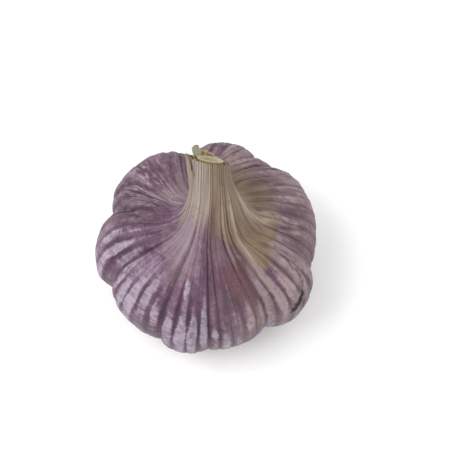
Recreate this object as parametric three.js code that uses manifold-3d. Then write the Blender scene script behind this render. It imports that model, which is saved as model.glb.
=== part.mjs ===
// A bulb of hardneck garlic, dried and trimmed. Its cloves are wrapped in ribbed papery skin that gathers
// into a leaning neck. The dry inner sheath and the cut flower stalk show in the neck's end, and the root
// plate in the hollow underneath.
// Millimetres and degrees, +Z up. The origin is on the floor, under the middle of the bulb's outline.
import * as THREE from "three";
import { mergeVertices } from "three/addons/utils/BufferGeometryUtils.js";
import Module from "manifold-3d";

// The bulb's half outline as radius and height, before its neck leans.
const OUTLINE = [
  [0, 3.4], // hollow underneath
  [3.0, 3.4],
  [7.2, 3.3],
  [9.2, 1.6],
  [12.6, 0], // foot
  [18.5, 0.8],
  [24.2, 4.6],
  [28.3, 11.2],
  [29.6, 18.6], // belly
  [28.5, 25.4],
  [25.2, 30.8],
  [19.9, 34.2], // shoulder
  [14.2, 36.0],
  [9.6, 37.7],
  [6.9, 41.0],
  [5.6, 45.8],
  [5.15, 51.2], // neck
  [5.1, 57.7],
];
// The cloves, going round from +X towards +Y: where the valley before each lies, how deep that valley is and
// how far out its sides stand, how far across the clove its crest stands, and how far the crest bulges.
const CLOVES = [
  { valley: -13, depth: 0.2, sides: 0.75, crest: 0.76, bulge: 3.4 },
  { valley: 47, depth: 0.4, sides: 1.65, crest: 0.5, bulge: 1.35 },
  { valley: 61, depth: 0.2, sides: 1.25, crest: 0.25, bulge: 2.4 },
  { valley: 99, depth: 1.9, sides: -0.4, crest: 0.61, bulge: 1.8 },
  { valley: 161, depth: 1.9, sides: -0.4, crest: 0.7, bulge: 1.6 },
  { valley: 203, depth: 1.2, sides: -0.35, crest: 0.42, bulge: 0.6 },
  { valley: 244, depth: 1.0, sides: 0.25, crest: 0.31, bulge: 1.2 },
  { valley: 271, depth: 1.0, sides: 0.4, crest: 0.82, bulge: -0.2 },
  { valley: 309, depth: 1.3, sides: 0.05, crest: 0.55, bulge: 3.1 },
];
const VALLEY_WIDTH = 7; // degrees from a valley's floor to where it has nearly gone
const RIBS = 50; // veins of the skin, from the root plate to the cut
const FIRST_RIB = -2.2; // its azimuth
const RIB_HEIGHT = 0.3;
// On their way into the neck, ribs at the left swing to the front and those at the right swing to the back.
const SWINGS = [
  { azimuth: 158, width: 46, by: 16 },
  { azimuth: 52, width: 40, by: 26 },
];
// Above the belly, the left lobe's ribs slide round towards the valley behind it, then come back.
const SLIDE = { azimuth: 170, width: 24, by: -20 };
const WEB = { azimuth: 0, width: 46, reach: 5.0 }; // skin stretched from the neck to the right-hand cloves
// Pinched ridges of skin, and pressed-in creases where the height is less than 0: the place in ribs at the
// lower end and at the upper end, the half width in ribs, and the outline points where it starts and ends.
const RIDGES = [
  { low: 44.4, high: 45.4, width: 0.42, height: 0.5, from: 10.6, to: 16.0 },
  { low: 49.9, high: 48.4, width: 0.45, height: 0.5, from: 10.9, to: 16.2 },
  { low: 50.9, high: 49.8, width: 0.35, height: 0.35, from: 10.5, to: 14.5 },
  { low: 22.1, high: 20.2, width: 0.35, height: 0.4, from: 8.9, to: 11.4 },
  { low: 22.8, high: 25.0, width: 0.35, height: -0.4, from: 9.2, to: 13.0 },
  { low: 4.6, high: 4.2, width: 0.35, height: -0.5, from: 9.4, to: 13.0 },
];
const LEAN = { angle: 36, from: 33, to: 50, aside: 1.2 }; // the neck leans back and a little to the right
// The neck's cut end: its height, the knife's slope down to the back and to the right, and how ragged it is.
const CUT = { height: 56.6, back: 0.25, right: 0.2, from: 45, to: 56, ragged: 0.35 };
const SLIT = { azimuth: 207, width: 6, depth: 3.8 }; // split in the neck's outer skin
const PEEL = { azimuth: 184, width: 20, out: 1.2 }; // uncut strip beside the slit that has curled outwards
const POCKET = { radius: 4.35, depth: 7.5 }; // room inside the neck's outer skin
const NEST_GAP = 0.3; // between nested pieces

const SHEATH = { wall: 0.62, sides: 48, highest: 118, stands: 0.5, back: 1.5, ragged: 0.35 };
const TAB = { azimuth: 142, width: 44, height: 1.6, out: 1.1 }; // shred of inner sheath left standing
const STALK = { sides: 40, dish: 0.35, stands: 0.7 };

const PLATE = { radius: 6.6, thickness: 1.3, sides: 30 };
const ROOTS = { count: 46, radius: 0.42, sides: 5, rings: [1.4, 3.2, 4.8, 6.0], splay: 38, floor: 0.12 };

const COLUMNS_A_RIB = 4;
const ROWS = 27;
const SEED = 11;

const radians = THREE.MathUtils.degToRad;
const smooth = (from, to, x) => THREE.MathUtils.smoothstep(x, from, to);
const LAST = OUTLINE.length - 1;
// Share of the way along the outline of its point number k.
const at = (k) => k / LAST;
const outline = new THREE.SplineCurve(OUTLINE.map(([r, z]) => new THREE.Vector2(r, z)));

// A repeatable random number from 0 to 1 (mulberry32).
function randomFrom(seed) {
  let state = seed;
  return () => {
    state = (state + 0x6d2b79f5) | 0;
    let t = Math.imul(state ^ (state >>> 15), 1 | state);
    t = (t + Math.imul(t ^ (t >>> 7), 61 | t)) ^ t;
    return ((t ^ (t >>> 14)) >>> 0) / 4294967296;
  };
}

// Degrees from one azimuth to another the short way round, from -180 to 180.
const turn = (from, to) => ((((to - from + 180) % 360) + 360) % 360) - 180;

// Ribs aren't evenly spaced: the azimuth of a place counted in ribs.
function azimuthOf(rib) {
  const even = (rib / RIBS) * 360;
  const waves = 2.0 * Math.sin(radians(3 * even + 40)) + 1.1 * Math.sin(radians(7 * even + 110));
  return FIRST_RIB + even + waves;
}

// Azimuth of a place counted in ribs once the left lobe's ribs have slid over it.
function slidOf(rib, share) {
  const azimuth = azimuthOf(rib);
  const window = smooth(at(9.2), at(12.5), share) * (1 - smooth(at(13.3), at(15.5), share));
  return azimuth + SLIDE.by * Math.exp(-Math.pow(turn(SLIDE.azimuth, azimuth) / SLIDE.width, 2)) * window;
}

// Where a rib that starts at an azimuth has got to, at a share of the way along the outline.
function swungOf(azimuth, share) {
  const swing = SWINGS.reduce(
    (sum, bell) => sum + bell.by * Math.exp(-Math.pow(turn(bell.azimuth, azimuth) / bell.width, 2)),
    0,
  );
  return azimuth + swing * smooth(at(9.5), at(13), share);
}

// How far the cloves push the skin out at an azimuth, before it fades towards the neck and the root plate.
function puffOf(azimuth) {
  let puff = 0;
  CLOVES.forEach((clove, k) => {
    const next = CLOVES[(k + 1) % CLOVES.length];
    const width = (next.valley - clove.valley + 360) % 360;
    const across = ((((azimuth - clove.valley) % 360) + 360) % 360) / width;
    if (across < 1) {
      const beforeCrest = across < clove.crest;
      const side = beforeCrest ? clove.crest : 1 - clove.crest;
      const low = beforeCrest ? clove.sides : next.sides;
      puff += clove.bulge - (clove.bulge - low) * Math.pow(Math.abs(across - clove.crest) / side, 2.3);
    }
    puff -= clove.depth * Math.exp(-Math.pow(Math.abs(turn(clove.valley, azimuth)) / VALLEY_WIDTH, 1.3));
  });
  return puff;
}

// A rib's height from 0 in the groove to 1 on its crest.
const ribOf = (rib) => 1 - Math.pow(Math.abs(2 * (rib - Math.floor(rib)) - 1), 2.6);

// How high the ridges stand, less how deep the creases lie, at a place in ribs and a share of the outline.
function ridgesOf(rib, share) {
  return RIDGES.reduce((sum, { low, high, width, height, from, to }) => {
    const place = low + ((high - low) * (share - at(from))) / (at(to) - at(from));
    const across = ((((rib - place + RIBS / 2) % RIBS) + RIBS) % RIBS) - RIBS / 2;
    const ends = smooth(at(from), at(from + 1.5), share) * (1 - smooth(at(to - 1.5), at(to), share));
    return sum + height * Math.exp(-Math.pow(across / width, 2)) * ends;
  }, 0);
}

// The neck's centre line: straight up, then an easy curve back, then straight again.
const spine = (() => {
  const steps = 240;
  const top = LEAN.to + 20;
  const step = (top - LEAN.from) / steps;
  const points = [{ back: 0, up: LEAN.from, angle: 0 }];
  for (let k = 1; k <= steps; k++) {
    const angle = radians(LEAN.angle) * smooth(LEAN.from, LEAN.to, LEAN.from + k * step);
    const last = points[k - 1];
    const mean = (angle + last.angle) / 2;
    points.push({ back: last.back + Math.sin(mean) * step, up: last.up + Math.cos(mean) * step, angle });
  }
  return { step, points };
})();

// Leans a point of the straight bulb back with its neck, and rests it on the floor.
function lean(x, y, z) {
  const place = Math.max(0, z - LEAN.from) / spine.step;
  const k = Math.min(Math.floor(place), spine.points.length - 2);
  const a = spine.points[k];
  const b = spine.points[k + 1];
  const share = place - k;
  const angle = a.angle + (b.angle - a.angle) * share;
  const back = a.back + (b.back - a.back) * share;
  const up = z < LEAN.from ? z : a.up + (b.up - a.up) * share;
  const aside = LEAN.aside * smooth(LEAN.from, LEAN.to, z);
  return [x + aside, back + y * Math.cos(angle), Math.max(0, up - y * Math.sin(angle))];
}

// A knife's slanting cut lowers the back and the right of the neck's end, and raises the front and the left.
const slant = (x, y, z) => z - (CUT.right * x + CUT.back * y) * smooth(CUT.from, CUT.to, z);

// The uncut strip's share of the neck's outer skin at an azimuth, from 0 to 1.
const stripOf = (azimuth) => Math.exp(-Math.pow(turn(PEEL.azimuth, azimuth) / PEEL.width, 2));

// A point of the skin, at a place round the bulb counted in ribs and a share of the way along the outline.
function skinPoint(rib, share) {
  const azimuth = slidOf(rib, share);
  const { x: radius, y: height } = outline.getPoint(share);
  const before = outline.getPoint(Math.max(share - 1e-3, 0));
  const along = outline.getPoint(Math.min(share + 1e-3, 1)).sub(before).normalize();
  const cloves = smooth(at(2.5), at(5.5), share) * (1 - 0.35 * smooth(at(9.5), at(11.5), share));
  const nearNeck = smooth(at(10.5), at(13.5), share) * (1 - smooth(at(13.4), at(17), share));
  const web = WEB.reach * Math.exp(-Math.pow(turn(WEB.azimuth, azimuth) / WEB.width, 2)) * nearNeck;
  const ribs = smooth(at(3), at(6), share) * (1 - 0.55 * smooth(at(10), at(14), share));
  const puff =
    puffOf(azimuth) * cloves * (1 - smooth(at(11), at(13.6), share)) +
    RIB_HEIGHT * (ribOf(rib) - 0.6) * ribs +
    ridgesOf(rib, share);
  const peel = PEEL.out * stripOf(swungOf(azimuth, 1)) * smooth(at(15.3), 1, share);
  const r = radius + web + puff * along.y + peel;
  const z = height - puff * along.x;
  const angle = radians(swungOf(azimuth, share));
  const [x, y] = [r * Math.cos(angle), r * Math.sin(angle)];
  return lean(x, y, slant(x, y, z));
}

// Triangles between rings of points, each ring going round from +X towards +Y.
function bands(rings, sides) {
  const indices = [];
  for (let k = 0; k + 1 < rings; k++) {
    for (let i = 0; i < sides; i++) {
      const j = (i + 1) % sides;
      const [a, b, c, d] = [k * sides + i, k * sides + j, (k + 1) * sides + i, (k + 1) * sides + j];
      indices.push(a, b, d, a, d, c);
    }
  }
  return indices;
}

function surfaceOf(points, indices) {
  const geometry = new THREE.BufferGeometry();
  geometry.setAttribute("position", new THREE.Float32BufferAttribute(points.flat(), 3));
  geometry.setIndex(indices);
  return geometry;
}

// A closed surface from rings of points, capped at both ends by a centre.
function closedFromRings(rings, firstCentre, lastCentre) {
  const sides = rings[0].length;
  const indices = bands(rings.length, sides);
  const first = rings.length * sides;
  const top = first - sides;
  for (let i = 0; i < sides; i++) {
    const j = (i + 1) % sides;
    indices.push(first, j, i, first + 1, top + i, top + j);
  }
  return surfaceOf([...rings.flat(), firstCentre, lastCentre], indices);
}

// How far below the strip's end the neck's outer skin ends at an azimuth, as a share of the outline.
function tornBy(azimuth, ragged) {
  const slit = Math.max(0, 1 - Math.abs(turn(SLIT.azimuth, azimuth)) / SLIT.width);
  const cut = (OUTLINE[LAST][1] - CUT.height) * (1 - stripOf(azimuth));
  return (cut + SLIT.depth * slit + CUT.ragged * ragged) / (OUTLINE[LAST][1] - OUTLINE[LAST - 1][1]) / LAST;
}

// Cloves in their skin, with the ribbed neck and the room in its end.
function bulbGeometry() {
  const random = randomFrom(SEED);
  const columns = [...Array(RIBS * COLUMNS_A_RIB).keys()].map((k) => k / COLUMNS_A_RIB);
  const azimuths = columns.map((rib) => swungOf(azimuthOf(rib), 1));
  // The edge is cut or broken a rib at a time, with an easy change from each rib to the next.
  const breaks = [...Array(RIBS + 1).keys()].map(() => random());
  breaks[RIBS] = breaks[0];
  const torn = azimuths.map((azimuth, i) => {
    const before = Math.floor(columns[i]);
    return tornBy(azimuth, THREE.MathUtils.lerp(breaks[before], breaks[before + 1], columns[i] - before));
  });
  const floor = at(2);
  const rings = [];
  for (let k = 0; k < ROWS; k++) {
    const share = floor + ((1 - floor) * k) / (ROWS - 1);
    rings.push(columns.map((rib, i) => skinPoint(rib, share - torn[i] * smooth(at(14), 1, share))));
  }
  // Over the edge and down the inside of the neck.
  const inside = (angle, radius) => [radius * Math.cos(radians(angle)), radius * Math.sin(radians(angle))];
  const edge = azimuths.map((azimuth, i) => {
    const [x, y] = inside(azimuth, POCKET.radius + PEEL.out * stripOf(azimuth));
    return lean(x, y, slant(x, y, outline.getPoint(1 - torn[i]).y));
  });
  const bottom = CUT.height - POCKET.depth;
  const foot = azimuths.map((azimuth) => lean(...inside(azimuth, POCKET.radius), bottom));
  return closedFromRings([...rings, edge, foot], [0, 0, OUTLINE[0][1]], lean(0, 0, bottom));
}

// A ring of points round the neck's axis, each at its own radius and height; the cut slants a ring on it.
function neckRing(sides, radiusOf, heightOf, onCut) {
  return [...Array(sides).keys()].map((k) => {
    const angle = (k / sides) * 2 * Math.PI;
    const [x, y] = [radiusOf(k) * Math.cos(angle), radiusOf(k) * Math.sin(angle)];
    return lean(x, y, onCut ? slant(x, y, heightOf(k)) : heightOf(k));
  });
}

// Dry leaf sheath inside the neck: a thin ragged tube, higher at the back, with one shred left standing.
function sheathGeometry() {
  const random = randomFrom(SEED + 1);
  const outer = POCKET.radius - NEST_GAP;
  const inner = outer - SHEATH.wall;
  const foot = CUT.height - POCKET.depth + NEST_GAP;
  const azimuths = [...Array(SHEATH.sides).keys()].map((k) => (k / SHEATH.sides) * 360);
  const isTab = azimuths.map((azimuth) => Math.abs(turn(TAB.azimuth, azimuth)) < TAB.width / 2);
  const stands = azimuths.map((azimuth, k) => {
    const back = Math.max(0, Math.cos(radians(turn(SHEATH.highest, azimuth))));
    const ragged = SHEATH.ragged * random();
    return SHEATH.stands * (back - 0.6) + SHEATH.back * back * back + (isTab[k] ? TAB.height : 0) + ragged;
  });
  const out = (k) => (isTab[k] ? TAB.out : 0);
  const ring = (radius, heightOf, onCut) => neckRing(SHEATH.sides, radius, heightOf, onCut);
  // Up the outside, over the edge, down the inside, and along the foot: a ring with a hole through it.
  const loops = [
    ring(() => outer, () => foot, false),
    ring(() => outer, (k) => CUT.height + Math.min(stands[k] - 0.25, 0.3), true),
    ring((k) => outer + out(k), (k) => CUT.height + stands[k], true),
    ring((k) => inner + out(k), (k) => CUT.height + stands[k] - 0.1, true),
    ring(() => inner, (k) => CUT.height + Math.min(stands[k] - 0.3, 0.3), true),
    ring(() => inner, () => foot, false),
  ];
  return surfaceOf([...loops, loops[0]].flat(), bands(loops.length + 1, SHEATH.sides));
}

// The cut flower stalk: a round rod with a slightly dished end, on the same slanting cut.
function stalkGeometry() {
  const radius = POCKET.radius - 2 * NEST_GAP - SHEATH.wall;
  const top = CUT.height + STALK.stands;
  const foot = CUT.height - POCKET.depth + NEST_GAP;
  const ring = (share, height, onCut) => neckRing(STALK.sides, () => radius * share, () => height, onCut);
  const rings = [
    ring(1, foot, false),
    ring(1, top - 0.25, true),
    ring(0.93, top, true),
    ring(0.72, top - 0.05, true),
    ring(0.5, top - STALK.dish, true),
  ];
  return closedFromRings(rings, lean(0, 0, foot), lean(0, 0, top - STALK.dish));
}

const wasm = await Module();
wasm.setup();

// Conversions between three.js geometry and a manifold-3d solid.
function solidOf(geometry) {
  const bare = geometry.index ? geometry.toNonIndexed() : geometry.clone();
  bare.deleteAttribute("normal");
  bare.deleteAttribute("uv");
  const merged = mergeVertices(bare, 1e-4);
  return new wasm.Manifold(
    new wasm.Mesh({
      numProp: 3,
      vertProperties: merged.attributes.position.array,
      triVerts: new Uint32Array(merged.index.array),
    }),
  );
}

function geometryOf(solid) {
  const mesh = solid.getMesh();
  const geometry = new THREE.BufferGeometry();
  geometry.setAttribute("position", new THREE.BufferAttribute(mesh.vertProperties, 3));
  geometry.setIndex(new THREE.BufferAttribute(mesh.triVerts, 1));
  return geometry;
}

// The root plate: a low woody disc in the hollow, with its trimmed roots splaying down from it.
function rootPlateGeometry() {
  const random = randomFrom(SEED + 2);
  const ceiling = OUTLINE[0][1] - NEST_GAP;
  const bottom = ceiling - PLATE.thickness;
  const profile = [
    [0, bottom - 0.3],
    [PLATE.radius * 0.55, bottom - 0.2],
    [PLATE.radius * 0.92, bottom + 0.15],
    [PLATE.radius, bottom + 0.7],
    [PLATE.radius * 0.94, ceiling],
    [0, ceiling],
  ].map(([r, z]) => new THREE.Vector2(r, z));
  const disc = new THREE.LatheGeometry(profile, PLATE.sides).rotateX(Math.PI / 2);
  let plate = solidOf(disc);
  for (let k = 0; k < ROOTS.count; k++) {
    const ring = ROOTS.rings[k % ROOTS.rings.length];
    const azimuth = (k * 137.5 + 20 * random()) * (Math.PI / 180);
    const tilt = radians(ROOTS.splay) * (ring / PLATE.radius) * (0.6 + 0.6 * random());
    const start = bottom + 0.5;
    const length = (start - ROOTS.floor) * (0.72 + 0.26 * random());
    const root = new THREE.CylinderGeometry(ROOTS.radius, ROOTS.radius * 0.6, length, ROOTS.sides)
      .translate(0, -length / 2, 0)
      .rotateX(Math.PI / 2)
      .rotateY(-tilt)
      .rotateZ(azimuth)
      .translate(ring * 0.9 * Math.cos(azimuth), ring * 0.9 * Math.sin(azimuth), start);
    plate = plate.add(solidOf(root));
  }
  return geometryOf(plate);
}

function piece(name, geometry, color, roughness) {
  const material = new THREE.MeshStandardMaterial({ color, roughness, metalness: 0 });
  const mesh = new THREE.Mesh(geometry, material);
  mesh.name = name;
  return mesh;
}

const bulb = piece("bulb", bulbGeometry(), 0x84707c, 0.6);
const garlic = new THREE.Group();
garlic.add(
  bulb,
  piece("inner_sheath", sheathGeometry(), 0x9a8358, 0.75),
  piece("flower_stalk", stalkGeometry(), 0xaaa582, 0.55),
  piece("root_plate", rootPlateGeometry(), 0x7a6750, 0.9),
);
bulb.geometry.computeBoundingBox();
const middle = bulb.geometry.boundingBox.getCenter(new THREE.Vector3());
garlic.position.set(-middle.x, -middle.y, 0);

export default garlic;
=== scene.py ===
"""Garlic bulb: papery skin, inner sheath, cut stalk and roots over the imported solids, on a studio stage."""

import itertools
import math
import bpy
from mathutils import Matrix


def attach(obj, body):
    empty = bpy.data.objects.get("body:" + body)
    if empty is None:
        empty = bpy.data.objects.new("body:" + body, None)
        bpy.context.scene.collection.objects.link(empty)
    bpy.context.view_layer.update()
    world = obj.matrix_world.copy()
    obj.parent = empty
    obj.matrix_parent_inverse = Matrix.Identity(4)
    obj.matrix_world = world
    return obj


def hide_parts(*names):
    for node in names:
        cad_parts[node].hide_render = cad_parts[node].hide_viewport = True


bl_info = {
    "name": "Garlic Bulb",
    "version": (1, 0, 0),
    "blender": (4, 5, 0),
    "location": "View3D > Sidebar > Garlic",
    "description": "Papery skin, inner sheath, cut stalk and roots of a garlic bulb, with a studio stage",
    "category": "Add Mesh",
}

import bpy
import numpy as np
from mathutils import Matrix, Vector

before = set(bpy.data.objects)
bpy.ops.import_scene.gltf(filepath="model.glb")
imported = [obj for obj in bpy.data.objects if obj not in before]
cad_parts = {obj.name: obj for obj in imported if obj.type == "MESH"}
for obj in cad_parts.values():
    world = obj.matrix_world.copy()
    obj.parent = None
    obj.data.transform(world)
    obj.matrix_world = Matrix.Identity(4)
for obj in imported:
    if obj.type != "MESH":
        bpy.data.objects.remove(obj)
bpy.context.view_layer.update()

MM = 0.001

# --------------------------------------------- sizes of the bulb, in millimetres and degrees

# Half outline as radius and height, before the neck leans: hollow, foot, belly, shoulder, neck.
OUTLINE = np.array([
    (0, 3.4), (3, 3.4), (7.2, 3.3), (9.2, 1.6), (12.6, 0), (18.5, 0.8), (24.2, 4.6), (28.3, 11.2),
    (29.6, 18.6), (28.5, 25.4), (25.2, 30.8), (19.9, 34.2), (14.2, 36), (9.6, 37.7), (6.9, 41),
    (5.6, 45.8), (5.15, 51.2), (5.1, 57.7),
])
LAST = len(OUTLINE) - 1
# The cloves: the azimuth of the valley before each, that valley's depth and how far out its sides stand,
# the crest's place across the clove, and how far the crest bulges.
CLOVES = [
    (-13, 0.2, 0.75, 0.76, 3.4), (47, 0.4, 1.65, 0.5, 1.35), (61, 0.2, 1.25, 0.25, 2.4),
    (99, 1.9, -0.4, 0.61, 1.8), (161, 1.9, -0.4, 0.7, 1.6), (203, 1.2, -0.35, 0.42, 0.6),
    (244, 1, 0.25, 0.31, 1.2), (271, 1, 0.4, 0.82, -0.2), (309, 1.3, 0.05, 0.55, 3.1),
]
RIBS = 50
FIRST_RIB = -2.2  # azimuth of the first rib, before the slow waves
RIB_MM = 3.7  # width of a rib near the tear
AXIS = np.array([-0.523, -0.586, 0])  # the bulb's own axis, seen from the middle of its outline
# Where the ribs swing round on their way into the neck: azimuth, width, and degrees.
SWINGS = [(158, 46, 16), (52, 40, 26)]
# Above the belly, the left lobe's ribs slide round towards the valley behind it, then come back.
SLIDE_AZIMUTH, SLIDE_WIDTH, SLIDE = 170, 24, -20
# The skin stretches from the neck to the cloves at the right, this far out from the outline.
WEB_AZIMUTH, WEB_WIDTH, WEB_REACH = 0, 46, 5
# Pinched ridges, and pressed-in creases where the height is less than 0: place in ribs at the lower end and
# at the upper end, half width in ribs, height, and the outline points where each starts and ends.
RIDGES = [
    (44.4, 45.4, 0.42, 0.5, 10.6, 16), (49.9, 48.4, 0.45, 0.5, 10.9, 16.2),
    (50.9, 49.8, 0.35, 0.35, 10.5, 14.5), (42.6, 42.6, 0.3, 0.3, 11.5, 16),
    (33.3, 33.3, 0.3, 0.3, 11, 15.5), (22.1, 20.2, 0.35, 0.4, 8.9, 11.4),
    (21.6, 19.6, 0.2, -0.5, 8.7, 11.4), (22.8, 25, 0.35, -0.4, 9.2, 13), (4.6, 4.2, 0.35, -0.5, 9.4, 13),
    (3.1, 3, 0.2, -0.3, 9.6, 13.2), (47.6, 47, 0.2, -0.3, 9.2, 12), (50, 49, 0.2, -0.3, 9, 12.2),
]
# The neck leans back by this angle between two heights, and aside.
LEAN_ANGLE, LEAN_FROM, LEAN_TO, LEAN_ASIDE = 36, 33, 50, 1.2
# The cut: its height on the axis, and its slope down towards the back and the right.
CUT_HEIGHT, CUT_BACK, CUT_RIGHT = 56.6, 0.25, 0.2
# The slit in the neck's outer skin, the uncut strip beside it, and the pocket in the neck's end.
SLIT_AZIMUTH, SLIT_WIDTH, SLIT_DEPTH = 207, 6, 3.8
PEEL_AZIMUTH, PEEL_WIDTH, PEEL_OUT = 184, 20, 1.2
POCKET_RADIUS, POCKET_DEPTH = 4.35, 7.5
POCKET_FLOOR = CUT_HEIGHT - POCKET_DEPTH
GAP = 0.3  # between the sheath, the stalk or the root plate and what it sits in
# The sheath's edge stands highest at the back, with a shred beside it and a low rise at the left: azimuths.
SHEATH_BACK, SHRED_AZIMUTH, SHEATH_LEFT = 118, 147, 198
SHEATH_LENGTH = 9  # from its foot to its edge, for the noise of its finish
STALK_RADIUS, STALK_TOP = 3.13, CUT_HEIGHT + 0.7
CUT_FOOT = POCKET_FLOOR + GAP  # where the sheath and the stalk start
PLATE_TOP, PLATE_BOTTOM = OUTLINE[0][1] - GAP, 1.5
# The roots cover a disc of this radius and start inside the plate at this height.
ROOTS_RADIUS, ROOTS_START = 5.9, 1.9
GOLDEN_TURN = 137.508  # degrees from one root of the sunflower spiral to the next
# The torn leaves of the cut edge: radius beyond the pocket and drop below the edge for each ring.
LEAVES = [(0.62, 0.04), (0.5, 0.5), (0.36, 0.12), (0.14, 0.08), (0.04, 0.9), (0, 2)]
# The split beside the uncut strip goes on down the neck: place in ribs at its top, the ribs that it slants
# over, and where it starts and ends along the skin.
SPLIT_RIB, SPLIT_RIBS, SPLIT_TOP, SPLIT_END = 27.8, 2.7, 92, 88.2
# The tear: place in ribs and along the skin, half length, half width, and degrees aslant.
TEAR_RIB, TEAR_ALONG, TEAR_LENGTH, TEAR_WIDTH, TEAR_SLANT = 45.6, 47.2, 3.5, 1.3, 48
# Thin cracks: place in ribs at the middle, ribs moved in a millimetre, and where each starts and ends.
CRACKS = [(9.9, -0.14, 51.5, 60.5), (46.6, 0.05, 49, 62), (47.1, 0.5, 47.6, 49.6), (48.6, 0.2, 44.6, 47.2)]
# Marks on the skin: place in ribs and in millimetres along it, half width in ribs, half length in
# millimetres, and strength.
MARKS = {
    # Purple worn off the ribs, so that pale paper shows.
    "worn": [
        (27.5, 55, 0.45, 4.5, 1), (26.5, 55.5, 0.4, 3, 0.5), (32.5, 57.5, 0.35, 4, 0.75),
        (26.9, 62.8, 0.4, 2.8, 0.65), (26, 50.5, 0.5, 4, 0.5), (27.2, 45.5, 1, 4.5, 0.7),
        (29.5, 56, 0.42, 5.5, 0.95), (28.4, 58, 0.35, 3.5, 0.6), (30.6, 51, 0.5, 5.5, 0.9),
        (31.7, 53, 0.7, 7.5, 1), (33.1, 52, 0.5, 7, 0.85), (34.4, 47, 0.55, 6.5, 1),
        (35.4, 47, 0.55, 7.5, 1), (36.4, 47, 0.7, 8.5, 1.1), (35.5, 62.3, 0.36, 3.5, 0.75),
        (37.5, 52, 0.5, 7.5, 0.85), (38.6, 48.2, 0.42, 1.8, 1.3), (38.9, 58, 0.45, 3, 0.4),
        (40.6, 53.5, 0.4, 3, 0.3), (39.5, 44, 1.2, 5, 0.6), (19.6, 56, 0.5, 4, 0.5), (14, 43, 2, 8, 0.6),
        (21.5, 44, 2.2, 7, 0.6), (5, 44, 2.4, 8, 0.6),
    ],
    # Cream-coloured skin.
    "cream": [
        (43.4, 50.5, 1.3, 7, 0.6), (45.2, 52.5, 1.1, 4.5, 0.75), (46.9, 56.5, 0.8, 7, 1.1),
        (47.4, 61.5, 1, 3.5, 0.8), (44.6, 61, 0.7, 3.5, 0.5), (8.8, 60, 1.3, 4.5, 0.75),
        (10.1, 54, 1, 4, 0.8), (3.9, 54.5, 0.9, 4, 0.9), (49.9, 58.5, 0.6, 3, 0.7), (12.6, 62, 1, 5, 0.5),
        (0.3, 57.8, 0.45, 1.8, 0.9), (5.2, 56, 0.5, 4, 0.7), (2.4, 57.5, 0.35, 3, 0.4),
        (41.5, 50.5, 0.7, 3.5, 0.6), (43.7, 57, 0.5, 3, 0.45),
    ],
    # Deepest purple.
    "deep": [
        (27.6, 67.5, 1.3, 4.5, 0.8), (26.9, 58.5, 0.8, 4.5, 0.5), (25.3, 60, 0.8, 6, 0.8),
        (28.4, 50.5, 0.5, 4, 0.6), (30.6, 63, 0.6, 4, 0.5), (33.9, 59.5, 0.6, 4, 0.8),
        (33.9, 47, 0.4, 5, 0.8), (40, 57, 1, 5.5, 1), (38.4, 67, 1.6, 9, 0.6), (11.9, 57, 0.8, 4, 0.9),
        (6.8, 56.5, 1.1, 4, 0.8), (1.5, 56, 1.1, 5, 0.4), (48.7, 60.5, 0.7, 5, 0.4),
        (49.5, 53.5, 0.7, 4, 0.7), (2.9, 61, 0.7, 3.5, 0.6), (18.2, 64, 1.6, 4, 0.55),
        (19.6, 58, 1.6, 5.5, 0.6), (15.8, 60, 1.6, 7, 0.6), (32.4, 43.5, 0.9, 6, 0.5),
        (37, 60.5, 1.4, 5, 0.2), (23.9, 65.5, 1, 5, 0.7), (24.4, 70.5, 1.2, 3.5, 1),
    ],
    # Red-brown patches.
    "blush": [
        (42.2, 61.5, 1.3, 4, 1), (41.2, 65.5, 0.9, 4, 0.6), (43.3, 66.5, 0.8, 3, 0.8),
        (39.6, 79.5, 1.3, 6, 0.95), (37, 77.5, 1.2, 4, 0.4), (28.7, 51.5, 0.6, 3, 0.25),
        (42.5, 57, 0.8, 4, 0.7),
    ],
    # Brown stains.
    "stain": [
        (46.7, 68, 1.7, 5, 1), (45.4, 63.5, 0.9, 3.5, 0.8), (49.3, 66.5, 1.1, 3.5, 0.9),
        (46.8, 76.5, 1.8, 5, 0.8), (43.8, 76, 1.6, 5.5, 0.9), (42.4, 48.5, 0.6, 5, 0.5),
    ],
    # Rose-grey skin.
    "rosy": [
        (30.6, 74, 2.8, 7, 0.85), (34.5, 70, 1.8, 8, 0.6), (18.5, 71.5, 2.8, 5, 0.45),
        (16, 66, 1.6, 5, 0.25), (21.5, 66, 0.9, 4, 0.5), (1, 63, 1.4, 4.5, 0.5), (49.2, 62.5, 1, 4, 0.45),
        (5, 65, 0.9, 5, 0.5), (22.8, 59, 0.7, 3, 0.5),
    ],
    # Browner skin behind on the left, and the shadow at the neck's foot in front on the right.
    "browner": [(17.8, 66, 2.6, 6, 0.9)],
    "dusk": [(43.9, 74, 1, 7, 2.2)],
    # Loose, folded skin.
    "slack": [
        (21.5, 66, 3.2, 9, 1), (18.3, 60, 3.4, 9, 0.8), (6, 62, 4.5, 8, 0.9), (50, 60, 2.5, 8, 0.7),
    ],
    # Places with faint grooves, and with firm ones.
    "faint": [
        (27.2, 67.5, 2.2, 6.5, 0.9), (18, 60, 3.4, 11, 0.55), (8, 62, 3, 8, 0.4),
    ],
    "firm": [
        (44.5, 50, 3, 9, 0.6), (36, 54, 4, 12, 0.3), (49.5, 56, 2.5, 9, 0.4),
    ],
}


# --------------------------------------------- sizes of the stage, in metres and degrees

# The camera's height over the floor in degrees, its distance from its aim, and the aim's height.
CAMERA_HEIGHT, CAMERA_REACH, AIM_HEIGHT = 66, 0.3, 0.019
# How far the camera turns to its right and up from its aim, in points of a picture this many points wide.
PICTURE_WIDTH, TURN_RIGHT, TURN_UP = 450, 20, 23
LIGHT_AIM = (0, 0, 0.02)

# --------------------------------------------- the bulb's form


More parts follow.
